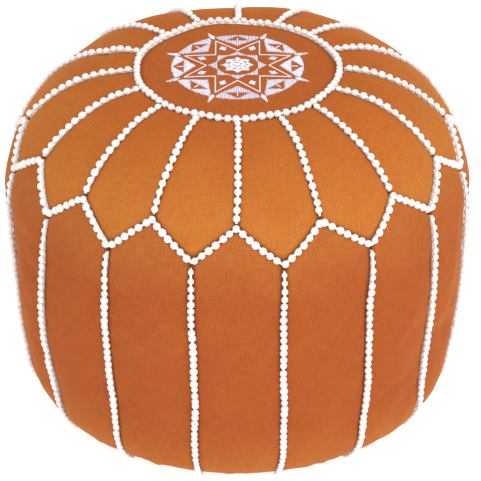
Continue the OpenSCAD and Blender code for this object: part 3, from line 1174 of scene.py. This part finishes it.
@dataclass
class BeadedCord:
    """Wound cotton beads on a cord, with a flange that is caught in the seam."""

    form: Form
    seed: int
    bead: tuple[float, float, float] = (8.1 * MM, 7.1 * MM, 7.2 * MM)
    spacing: float = 9.0 * MM
    stand: float = 3.9 * MM
    neck: float = 1.35 * MM
    flange: float = 1.1 * MM
    root: float = 2.0 * MM
    wobble: float = math.radians(6)
    sway: float = 70 * MM
    size_spread: float = 0.05

    def build(self, name: str, node: str, lines: Sequence[SeamLine]) -> bpy.types.Object:
        """Makes all the cord of one kind of seam.

        Args:
            name: The piece's name.
            node: The frame node that it stands for.
            lines: The seams that it runs in.

        Returns:
            The cord.
        """
        rng = np.random.default_rng(self.seed)
        pile = MeshPile()
        for line in lines:
            self.lay(pile, line, rng)
        return mount(pile.build(name, [BEAD_COTTON]), "bead_trim", node)

    def lay(self, pile: MeshPile, line: SeamLine, rng: np.random.Generator) -> None:
        """Lays flange, cord and beads along one seam.

        Args:
            pile: The pile that takes them.
            line: The seam.
            rng: Source of the beads' small differences.
        """
        seam = self.form.surface(line.around, line.run, -self.form.seam_sink)
        along = self.tangents(seam, line.closed)
        outward = self.form.outward(line.around, line.run)
        outward = unit(outward - along * (outward * along).sum(-1, keepdims=True))
        side = np.cross(along, outward)
        if line.lean:
            down = self.form.surface(line.around, line.run + MM, -self.form.seam_sink) - seam
            side *= np.sign((side * down).sum(-1, keepdims=True))
        reach = np.append(0, np.cumsum(np.linalg.norm(np.diff(seam, axis=0), axis=-1)))
        total = reach[-1] + (np.linalg.norm(seam[0] - seam[-1]) if line.closed else 0.0)
        sways = max(1, round(total / self.sway))
        sway = np.sin(reach * 2 * math.pi / (total / sways) + rng.uniform(0, 6))
        tip = (line.lean + sway * self.wobble)[:, None]
        upward = outward * np.cos(tip) + side * np.sin(tip)
        across = side * np.cos(tip) - outward * np.sin(tip)
        self.lay_flange(pile, seam, (outward, side, upward, across), line.closed)
        top = seam + upward * self.stand * 0.86
        turn = np.linspace(0, 2 * math.pi, 8, endpoint=False)[:, None]
        ring = across[:, None] * np.cos(turn) * self.neck + upward[:, None] * np.sin(turn) * self.neck
        ends = (not line.closed, not line.closed)
        pile.add_grid(self.oriented(top[:, None] + ring), around=True, looped=line.closed, fans=ends)
        self.lay_beads(pile, line, reach, total, (seam, along, upward, across), rng)

    def lay_flange(self, pile: MeshPile, seam: Array, ways: tuple[Array, ...], closed: bool) -> None:
        """Lays the web that joins the cord to the seam.

        Args:
            pile: The pile that takes it.
            seam: Points along the seam.
            ways: Outward and sideways directions in the seam, and the same two for the tipped beads.
            closed: Whether the seam runs all the way round.
        """
        outward, side, upward, across = ways
        half = self.flange / 2
        low, bend = seam - outward * self.root, seam + outward * 0.4 * MM
        top = seam + upward * self.stand * 0.8
        ring = [low - side * half, bend - side * half, top - across * half]
        ring += [top + across * half, bend + side * half, low + side * half]
        grid = self.oriented(np.stack(ring, 1))
        pile.add_grid(grid, around=True, looped=closed, fans=(not closed, not closed))

    def lay_beads(
        self,
        pile: MeshPile,
        line: SeamLine,
        reach: Array,
        total: float,
        track: tuple[Array, ...],
        rng: np.random.Generator,
    ) -> None:
        """Threads the beads on the cord.

        Args:
            pile: The pile that takes the beads.
            line: The seam.
            reach: Distance along the seam at each of its points.
            total: Length of the seam.
            track: Points of the seam, and the directions along, up and across at each.
            rng: Source of the beads' small differences.
        """
        count = max(2, round(total / self.spacing * (1 + line.bunching)))
        share = (np.arange(count) + (0.0 if line.closed else 0.5)) / count
        share = share + line.bunching * share * (1 - share)
        share = share + rng.normal(0, 0.05 / count, count)
        scale = np.interp(share, np.linspace(0, 1, len(line.sizes)), line.sizes)
        scale = scale * rng.normal(1, self.size_spread, count)
        at = [np.stack([np.interp(share * total, reach, v[:, i]) for i in range(3)], -1) for v in track]
        template, faces = self.ball()
        for i in range(count):
            place, ahead, up, wide = [v[i] for v in at]
            axes = np.stack([unit(wide) * self.bead[0], unit(ahead) * self.bead[1], unit(up) * self.bead[2]])
            lift = self.stand * (0.75 + 0.25 * scale[i]) + rng.normal(0, 0.25) * MM
            pile.add(place + up * lift + template @ axes * scale[i] / 2, faces)

    @staticmethod
    def ball(around: int = 12, down: int = 8) -> tuple[Array, list[list[int]]]:
        """Makes a ball of radius one, a little squared like a wound bead.

        Args:
            around: Points round the ball.
            down: Faces from pole to pole.

        Returns:
            Its points and faces.
        """
        pile = MeshPile()
        fall = (np.arange(1, down) * math.pi / down)[:, None]
        turn = np.linspace(0, 2 * math.pi, around, endpoint=False)
        fat = np.sin(fall) ** 0.85
        grid = np.stack([fat * np.cos(turn), np.cos(fall) + 0 * turn, fat * -np.sin(turn)], -1)
        pile.add_grid(grid, around=True, fans=(True, True))
        points = np.concatenate(pile.points)
        return points / np.abs(points).max(0), pile.faces

    @staticmethod
    def tangents(points: Array, closed: bool) -> Array:
        """Gives the direction along a line at each of its points."""
        if closed:
            return unit(np.roll(points, -1, 0) - np.roll(points, 1, 0))
        return unit(np.gradient(points, axis=0))

    @staticmethod
    def oriented(grid: Array) -> Array:
        """Orders a tube's columns so that its faces look outwards.

        Args:
            grid: Points of the tube, a row for each section.

        Returns:
            The same points, with the columns turned round if need be.
        """
        centre = grid.mean(1, keepdims=True)
        face = np.cross(grid[1:, 0] - grid[:-1, 0], grid[:-1, 1] - grid[:-1, 0])
        outward = (face * (grid[:-1, 0] - centre[:-1, 0])).sum() > 0
        return grid if outward else grid[:, ::-1]


@dataclass
class SeamTrims:
    """The four runs of beaded cord."""

    form: Form
    step: float = 3 * MM

    def build(self) -> None:
        """Makes the ring, the sixteen radial runs, the zigzag and the sixteen side runs."""
        form, pitch = self.form, self.form.pitch
        circle = np.linspace(0, 2 * math.pi, 256, endpoint=False)
        ring = SeamLine(circle, np.full(len(circle), form.ring), True, math.radians(26))
        BeadedCord(form, 5).build("medallion_bead_cord", "medallion_trim", [ring])
        spokes = [
            self.down(k * pitch, form.ring + 6 * MM, form.peak - 4 * MM, (0.85, 1.0, 1.0, 1.0, 0.95))
            for k in range(form.panels)
        ]
        BeadedCord(form, 6).build("petal_bead_cord", "petal_trim", spokes)
        around = np.linspace(0, 2 * math.pi, 32 * form.panels, endpoint=False)
        zigzag = SeamLine(around, form.zigzag(around), True, math.radians(16))
        BeadedCord(form, 7).build("zigzag_bead_cord", "zigzag_trim", [zigzag])
        sizes = (0.7, 1.0, 1.0, 1.0, 0.92, 0.68)
        drops = [
            self.down((k + 0.5) * pitch, form.valley + 7 * MM, form.hem - 5 * MM, sizes, 0.14)
            for k in range(form.panels)
        ]
        BeadedCord(form, 8).build("side_bead_cord", "side_trim", drops)

    def down(
        self, around: float, start: float, end: float, sizes: tuple[float, ...], bunching: float = 0.0
    ) -> SeamLine:
        """Makes a line straight down the cover."""
        run = np.linspace(start, end, max(8, round((end - start) / self.step)))
        return SeamLine(np.full(len(run), around), run, sizes=sizes, bunching=bunching)


# ---- Stitches ----------------------------------------------------------------------------

Placer = Callable[[Array, Array, Array], Array]
SHORTEST_STITCH = 0.9 * MM


@dataclass
class Needle:
    """Lays thread as arched stitches on a surface."""

    place: Placer
    width: float
    height: float
    base: float = 0.0
    step: float = 3.5 * MM

    def stitch(self, pile: MeshPile, start: Array, end: Array, finish: int = 0) -> None:
        """Lays one stitch.

        Args:
            pile: The pile that takes the stitch.
            start: Where the thread comes up, across the surface.
            end: Where it goes down.
            finish: Number of the thread's finish.
        """
        length = float(np.linalg.norm(end - start))
        count = max(4, math.ceil(length / self.step) + 3)
        share = (1 - np.cos(np.linspace(0, math.pi, count)))[:, None] / 2
        middle = start + (end - start) * share
        ahead = (end - start) / max(length, 1e-9)
        across = np.array([-ahead[1], ahead[0]])
        section = np.array([(-0.5, 0.0), (-0.34, 0.72), (0.0, 1.0), (0.34, 0.72), (0.5, 0.0)])
        plump = np.clip(np.sin(np.pi * np.clip(share, 0.06, 0.94)) * 2.2, 0, 1)
        flat = middle[:, None] + across * (section[:, 0] * self.width * (0.5 + 0.5 * plump))[..., None]
        lift = self.base + section[:, 1] * self.height * plump
        grid = self.place(flat[..., 0], flat[..., 1], lift)
        pile.add_grid(BeadedCord.oriented(grid), finish, around=True, fans=(True, True))


def fill_rows(loops: Sequence[Array], grain: float, spacing: float) -> list[tuple[Array, Array]]:
    """Fills a shape with parallel stitches.

    Args:
        loops: Outlines in metres. A loop inside another is left open.
        grain: Direction of the stitches, in radians.
        spacing: Distance from one stitch to the next.

    Returns:
        Start and end of each stitch.
    """
    cos, sin = math.cos(grain), math.sin(grain)
    turn = np.array([[cos, -sin], [sin, cos]])
    rows = []
    turned = [loop @ turn for loop in loops]
    low, high = min(t[:, 1].min() for t in turned), max(t[:, 1].max() for t in turned)
    count = max(1, round((high - low) / spacing))
    for level in low + (np.arange(count) + 0.5) * (high - low) / count:
        hits = []
        for loop in turned:
            a, b = loop, np.roll(loop, -1, 0)
            cut = (a[:, 1] > level) != (b[:, 1] > level)
            share = (level - a[cut, 1]) / (b[cut, 1] - a[cut, 1])
            hits += (a[cut, 0] + share * (b[cut, 0] - a[cut, 0])).tolist()
        hits.sort()
        pairs = zip(hits[::2], hits[1::2])
        rows += [(np.array([p, level]) @ turn.T, np.array([q, level]) @ turn.T) for p, q in pairs]
    return [(p, q) for p, q in rows if np.linalg.norm(p - q) > SHORTEST_STITCH]


@dataclass
class Embroidery:
    """The star, rosette, diamonds, rays and rim fields worked on the medallion.

    Real satin stitches lie 0.4 mm apart. They are drawn coarser here, so that they show.
    """

    medallion: Medallion
    radius: float = 71 * MM
    tip: float = 0.88
    points: int = 8
    spacing: float = 1.9 * MM
    seed: int = 41

    def __post_init__(self) -> None:
        """Sets up the threads."""
        place = self.medallion.crown
        self.satin = Needle(place, 1.35 * MM, 0.75 * MM, 0.25 * MM)
        self.under = Needle(place, 1.9 * MM, 0.35 * MM, -0.05 * MM)
        self.line = Needle(place, 1.5 * MM, 0.8 * MM, -0.05 * MM, 1.5 * MM)
        self.mark = Needle(place, 1.15 * MM, 0.5 * MM, 0.8 * MM, 1.5 * MM)
        self.rng = np.random.default_rng(self.seed)

    @property
    def notch(self) -> float:
        """Share of the radius at which the star's arms part."""
        return self.tip * math.cos(math.radians(67.5)) / math.cos(math.radians(45))

    def star(self, tip: float, notch: float, turn: float) -> Array:
        """Gives the corners of a star, in metres.

        Args:
            tip: Reach of its tips, as a share of the motif's radius.
            notch: Reach of its notches, in the same share.
            turn: Angle of the first tip.

        Returns:
            The corners in order.
        """
        angle = turn + np.arange(2 * self.points) * math.pi / self.points
        reach = np.where(np.arange(2 * self.points) % 2 == 0, tip, notch) * self.radius
        return np.stack([reach * np.cos(angle), reach * np.sin(angle)], -1)

    def spun(self, shape: Sequence[Point2], turn: float) -> Array:
        """Turns a shape, given in shares of the radius, to one of the eight directions."""
        cos, sin = math.cos(turn), math.sin(turn)
        return np.array(shape) @ np.array([[cos, sin], [-sin, cos]]) * self.radius

    def fill(self, pile: MeshPile, loops: Sequence[Array], grain: float, hatched: bool = True) -> None:
        """Fills a shape with satin stitches over an underlay.

        Args:
            pile: The pile that takes the stitches.
            loops: The shape's outlines.
            grain: Direction of the satin stitches.
            hatched: Whether the underlay shows between them.
        """
        for start, end in fill_rows(loops, grain + math.pi / 2, 1.6 * MM):
            self.under.stitch(pile, start, end, 1)
        for start, end in fill_rows(loops, grain, self.spacing if hatched else self.spacing * 0.68):
            nudge = self.rng.normal(0, 0.25 * MM, (2, 2))
            self.satin.stitch(pile, start + nudge[0], end + nudge[1])

    def outline(self, pile: MeshPile, corners: Array, length: float = 2.9 * MM) -> None:
        """Works a closed line in stem stitch, each stitch a little aslant.

        Args:
            pile: The pile that takes the stitches.
            corners: The line's corners.
            length: Length of a stitch.
        """
        for a, b in zip(corners, np.roll(corners, -1, 0)):
            count = max(2, round(float(np.linalg.norm(b - a)) / length))
            ahead = (b - a) / count
            slant = np.array([-ahead[1], ahead[0]]) * 0.13
            for i in range(count):
                self.line.stitch(pile, a + ahead * (i - 0.1) - slant, a + ahead * (i + 1.1) + slant)

    def finish(self, pile: MeshPile, name: str, node: str) -> None:
        """Makes a worked motif from its stitches."""
        mount(pile.build(name, [WHITE_THREAD, UNDERLAY_GAP_SHADE_THREAD, MARK_THREAD]), "embroidery_thread", node)

    def build(self) -> None:
        """Works every motif."""
        eighths = np.arange(self.points) * math.pi / 4
        arms = eighths + math.pi / 8
        star = MeshPile()
        self.outline(star, self.star(self.tip - 0.01, self.notch - 0.005, math.pi / 8))
        self.finish(star, "star_outline_stitches", "embroidered_star")

        band = MeshPile()
        tip = self.notch - 0.04
        around = np.linspace(0, 2 * math.pi, 64)[:-1]
        hole = np.stack([np.cos(around), np.sin(around)], -1) * 0.315 * self.radius
        inner_notch = tip * math.cos(math.pi / 4) / math.cos(math.pi / 8)
        self.fill(band, [self.star(tip, inner_notch, 0), hole], math.radians(90))
        self.finish(band, "inner_star_stitches", "embroidered_inner_star")

        rosette = MeshPile()
        self.fill(rosette, [self.star(0.245, 0.18, 0)], 0.0, hatched=False)
        self.marks(rosette)
        self.finish(rosette, "rosette_stitches", "embroidered_rosette")

        diamonds, rays, rim = MeshPile(), MeshPile(), MeshPile()
        for turn in arms:
            diamond = [(0.505, 0), (0.58, 0.06), (0.655, 0), (0.58, -0.06)]
            self.fill(diamonds, [self.spun(diamond, turn)], turn + math.pi / 2, hatched=False)
            ray = [(0.93, 0.0), (1.0, 0.042), (1.18, 0), (1.0, -0.042)]
            self.fill(rays, [self.spun(ray, turn)], turn + math.radians(70), hatched=False)
        for turn in eighths:
            self.fill(rim, self.rim_field(turn), turn)
            stem = self.spun([(0.815, 0.0), (0.915, 0.0)], turn)
            self.line.stitch(rim, stem[0], stem[1])
        self.finish(diamonds, "diamond_stitches", "embroidered_diamonds")
        self.finish(rays, "ray_stitches", "embroidered_rays")
        self.finish(rim, "rim_field_stitches", "embroidered_rim")

    def rim_field(self, turn: float) -> list[Array]:
        """Gives the outlines of one field between the star's arms, with its open triangle.

        Args:
            turn: Direction of the field.

        Returns:
            The field's outline, and the triangle's.
        """
        half = math.radians(19.5)
        swing = np.linspace(half, -half, 9) * 0.985
        edge = [(math.cos(a), math.sin(a)) for a in swing]
        corner = 0.93 * math.cos(half), 0.93 * math.sin(half)
        field_line = [(0.63, 0.0), corner, *edge, (corner[0], -corner[1])]
        triangle = [(0.81, -0.185), (0.81, 0.185), (0.985, 0.0)]
        return [self.spun(field_line, turn), self.spun(triangle, turn)]

    def marks(self, pile: MeshPile) -> None:
        """Scatters short dark stitches over the rosette, in two rings of slanting ticks."""
        for reach, count in ((0.06, 6), (0.135, 13)):
            for turn in np.arange(count) * 2 * math.pi / count + self.rng.uniform(0, 0.4, count):
                middle = self.radius * reach * np.array([math.cos(turn), math.sin(turn)])
                slant = turn + self.rng.choice([0.6, -0.7, 1.5])
                half = np.array([math.cos(slant), math.sin(slant)]) * self.rng.uniform(1.3, 2.2) * MM
                self.mark.stitch(pile, middle - half, middle + half, 2)


# ---- Underside ---------------------------------------------------------------------------


@dataclass
class Base:
    """The two base panels, folded back along the zip, with the zip's own stitching."""

    form: Form
    hem: Hem = field(default_factory=Hem)
    columns: int = 120
    rows: int = 34
    cloth: float = 1.2 * MM
    stitch_pitch: float = 3.6 * MM
    stitch_rows: tuple[float, float] = (8.2 * MM, 12.5 * MM)
    stitch_reach: float = 156 * MM
    opening: float = 160 * MM
    zip_edge: float = 6 * MM
    seam_edge: float = 0.55 * MM

    def build(self) -> None:
        """Makes both panels and the stitching."""
        for name, side in (("left", 1), ("right", -1)):
            self.panel(name, side)

    def inner_edge(self, x: Array) -> Array:
        """Gives the distance from the middle line to a panel's edge, which draws back along the zip."""
        closing = ease(self.opening, self.opening + 5 * MM, np.abs(x))
        return self.zip_edge - (self.zip_edge - self.seam_edge) * closing

    def panel(self, name: str, side: int) -> bpy.types.Object:
        """Makes one panel.

        Args:
            name: Left or right.
            side: One for the left panel, minus one for the right.

        Returns:
            The panel.
        """
        low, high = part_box(f"base_panel_{name}")
        reach = (high.x - low.x) / 2 + self.hem.seam_gap
        swing = np.linspace(-1, 1, self.columns + 1)
        x = side * reach * 0.9985 * np.sin(swing * math.pi / 2)
        near, far = self.inner_edge(x) - self.hem.seam_gap, np.sqrt(reach**2 - x**2)
        share = (np.linspace(0, 1, self.rows + 1) ** 1.5)[:, None]
        y = side * (near + share * np.maximum(far - near, MM))
        x = np.broadcast_to(x, y.shape)
        places = np.stack([x, y], -1)
        points, places, shade = self.hem.turn_in(self.form.underside(x, y), places)
        pile = MeshPile()
        pile.add_grid(points, places=places)
        piece = pile.build(f"base_{name}_canvas", [BASE_CANVAS], **{SEAM_SHADE: shade})
        thicken(piece, self.cloth)
        mount(piece, "base_canvas", f"base_panel_{name}")
        self.topstitch(name, side)
        return piece

    def topstitch(self, name: str, side: int) -> bpy.types.Object:
        """Sews two rows beside the zip.

        Args:
            name: Left or right.
            side: One for the left panel, minus one for the right.

        Returns:
            The stitches.
        """
        def place(x: Array, y: Array, lift: Array) -> Array:
            """Puts thread on the outer face of the base."""
            return self.form.underside(x, y, -lift)

        needle = Needle(place, 0.8 * MM, 0.45 * MM, 0.0, 1.5 * MM)
        pile = MeshPile()
        length = 0.72 * self.stitch_pitch
        for row in self.stitch_rows:
            for x in np.arange(-self.stitch_reach, self.stitch_reach, self.stitch_pitch):
                needle.stitch(pile, np.array([x, side * row]), np.array([x + length, side * row]))
        piece = pile.build(f"zip_topstitch_{name}", [SEWING_THREAD])
        return mount(piece, "embroidery_thread", f"base_panel_{name}")


@dataclass
class Zip:
    """The zip in the base: woven tapes, coined teeth and stops, and a cast slider with its pull."""

    ripple: float = 0.12 * MM
    wave: float = 11 * MM
    threads: int = 15

    def build(self) -> None:
        """Makes the tapes and the metal parts."""
        for side in ("left", "right"):
            self.tape(side)
            self.metal(f"zip_teeth_{side}", 0.12 * MM)
        for node in ("zip_top_stops", "zip_bottom_stop"):
            self.metal(node, 0.3 * MM)
        self.metal("zip_slider", 0.45 * MM, "zip_slider")
        self.metal("zip_pull", 0.3 * MM, "zip_pull")

    def metal(self, node: str, edge: float, body: str = COVER) -> bpy.types.Object:
        """Rounds the edges of a metal part.

        Args:
            node: The part's frame node.
            edge: Width of the rounding.
            body: The body that it rides on.

        Returns:
            The rounded part.
        """
        piece = bpy.data.objects.new(f"{node}_brass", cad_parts[node].data.copy())
        bpy.context.scene.collection.objects.link(piece)
        piece.data.materials.clear()
        piece.data.materials.append(BRASS.material())
        work = bmesh.new()
        work.from_mesh(piece.data)
        bmesh.ops.remove_doubles(work, verts=work.verts, dist=0.002 * MM)
        bmesh.ops.dissolve_limit(work, angle_limit=math.radians(1), verts=work.verts, edges=work.edges)
        work.to_mesh(piece.data)
        work.free()
        bevel = piece.modifiers.new("rounding", "BEVEL")
        bevel.width, bevel.segments, bevel.limit_method = edge, 2, "ANGLE"
        bevel.angle_limit = math.radians(40)
        bevel.harden_normals = False
        return mount(piece, "zip_metal", node, body=body)

    def tape(self, side: str) -> bpy.types.Object:
        """Weaves one tape, with a thick edge by the teeth and a ripple at the other.

        Args:
            side: Left or right.

        Returns:
            The tape.
        """
        low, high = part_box(f"zip_tape_{side}")
        x = np.linspace(low.x, high.x, 150)[:, None]
        share = np.linspace(0, 1, self.threads)
        y = low.y + (high.y - low.y) * share
        toward = share if side == "right" else 1 - share
        cord = ease(0.78, 0.92, toward) * (1 - ease(0.97, 1.0, toward))
        middle = (low.z + high.z) / 2
        wave = self.ripple * np.sin(x * 2 * math.pi / self.wave) * (1 - toward)
        half = (high.z - low.z) / 2 * (0.75 + 0.25 * cord)
        top = np.stack(np.broadcast_arrays(x, y, middle + wave + half), -1)
        under = np.stack(np.broadcast_arrays(x, y, middle + wave - half), -1)
        ring = np.concatenate([top, under[:, ::-1]], 1)
        pile = MeshPile()
        pile.add_grid(BeadedCord.oriented(ring), around=True, fans=(True, True))
        return mount(pile.build(f"zip_tape_{side}_woven", [TAPE]), "zip_tape", f"zip_tape_{side}")


@dataclass
class Stuffing:
    """The calico bag and the wadding that fill the cover."""

    form: Form
    bag_depth: float = 5.4 * MM
    bag_cloth: float = 0.8 * MM
    wadding_depth: float = 6.8 * MM
    columns: int = 128

    def build(self) -> None:
        """Makes the bag and the wadding."""
        bag = self.body("calico_bag", self.bag_depth, CALICO, 0.0)
        thicken(bag, self.bag_cloth)
        mount(bag, "bag_calico", "inner_bag")
        wadding = self.body("cotton_wadding", self.wadding_depth, WADDING, 1.2 * MM)
        mount(wadding, "wadding", "filling")

    def body(self, name: str, depth: float, finish: Finish, unevenness: float) -> bpy.types.Object:
        """Makes a closed stuffed shape inside the cover.

        Args:
            name: The piece's name.
            depth: Distance in from the cover's outer face.
            finish: The finish.
            unevenness: Depth of the lumps in it.

        Returns:
            The shape.
        """
        around = np.linspace(0, 2 * math.pi, self.columns, endpoint=False)
        run = np.linspace(5 * MM, self.form.hem, 90)[:, None]
        lumps = Handwork(53, 0.5 * unevenness, (4, 22), (0.04, 0.14)).at(around, run) if unevenness else 0.0
        upper = self.form.surface(around, run, np.minimum(lumps, 0.0) - depth - unevenness)
        rim = np.hypot(upper[-1, :, 0], upper[-1, :, 1])
        share = np.linspace(1, 0.02, 60)[1:, None]
        x, y = share * rim * np.cos(around), share * rim * np.sin(around)
        zip_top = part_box("zip_slider")[1].z
        under = self.form.underside(x, y, depth * 0.72, zip_top)
        pile = MeshPile()
        pile.add_grid(np.concatenate([upper, under]), around=True, fans=(True, True))
        return pile.build(name, [finish])


# ---- Studio ------------------------------------------------------------------------------


@dataclass
class Studio:
    """A white floor, a bright even room, a broad key light and the camera."""

    distance: float = 4.0
    elevation: float = math.radians(31.45)
    azimuth: float = math.radians(0.1)
    roll: float = math.radians(-0.25)
    target_height: float = 0.1804
    lens: float = 271.6
    shift: float = 0.0046
    room_light: float = 0.78
    floor_gap: float = 0.3 * MM
    key_power: float = 58.0
    key_place: tuple[float, float, float] = (1.0, -2.3, 2.6)
    key_size: float = 2.6
    floor_reach: float = 12.0

    def build(self) -> None:
        """Sets up floor, lights and camera."""
        bpy.context.scene.view_settings.view_transform = "Standard"
        self.floor()
        self.room()
        self.lamp("key_light", self.key_place, self.key_power, self.key_size)
        self.camera()

    def floor(self) -> None:
        """Lays a broad white floor."""
        pile = MeshPile()
        line = np.linspace(-self.floor_reach, self.floor_reach, 9)
        x, y = np.meshgrid(line, line)
        level = np.full(x.shape, CAD_BOX[0].z - self.floor_gap)
        pile.add_grid(np.stack([x, y, level], -1).swapaxes(0, 1))
        pile.build("studio_floor", [PaleFloor()])

    def room(self) -> None:
        """Lights the room evenly."""
        world = bpy.data.worlds.new("white_room")
        world.use_nodes = True
        world.node_tree.nodes.clear()
        light = add_node(world.node_tree, "Background", {"Color": (1, 1, 1, 1), "Strength": self.room_light})
        add_node(world.node_tree, "OutputWorld", {"Surface": light.outputs[0]})
        bpy.context.scene.world = world

    def lamp(self, name: str, place: tuple[float, float, float], power: float, size: float) -> None:
        """Hangs a square soft light that faces the pouf.

        Args:
            name: The light's name.
            place: Where it hangs.
            power: Its power in watts.
            size: Length of its side.
        """
        data = bpy.data.lights.new(name, "AREA")
        data.energy, data.size = power, size
        made = bpy.data.objects.new(name, data)
        made.location = place
        made.rotation_euler = (Vector((0, 0, 0.2)) - Vector(place)).to_track_quat("-Z", "Y").to_euler()
        bpy.context.scene.collection.objects.link(made)

    def camera(self) -> None:
        """Points a long lens at the pouf."""
        data = bpy.data.cameras.new("camera")
        data.lens, data.sensor_width, data.shift_x = self.lens, 36.0, self.shift
        data.clip_end = 60.0
        made = bpy.data.objects.new("camera", data)
        level = math.cos(self.elevation) * self.distance
        made.location = (
            math.sin(self.azimuth) * level,
            -math.cos(self.azimuth) * level,
            self.target_height + math.sin(self.elevation) * self.distance,
        )
        turn = Matrix.Rotation(self.azimuth, 3, "Z") @ Matrix.Rotation(math.pi / 2 - self.elevation, 3, "X")
        made.rotation_euler = (turn @ Matrix.Rotation(self.roll, 3, "Z")).to_euler()
        bpy.context.scene.collection.objects.link(made)
        bpy.context.scene.camera = made


def main() -> None:
    """Builds the pouf from the inside out, then the studio round it."""
    logging.basicConfig(level=logging.INFO, format="%(message)s")
    form = Form()
    Stuffing(form).build()
    Cover(form).build()
    medallion = Medallion(form)
    medallion.build()
    Embroidery(medallion).build()
    SeamTrims(form).build()
    Base(form).build()
    Zip().build()
    Studio().build()


if __name__ == "__main__":
    main()
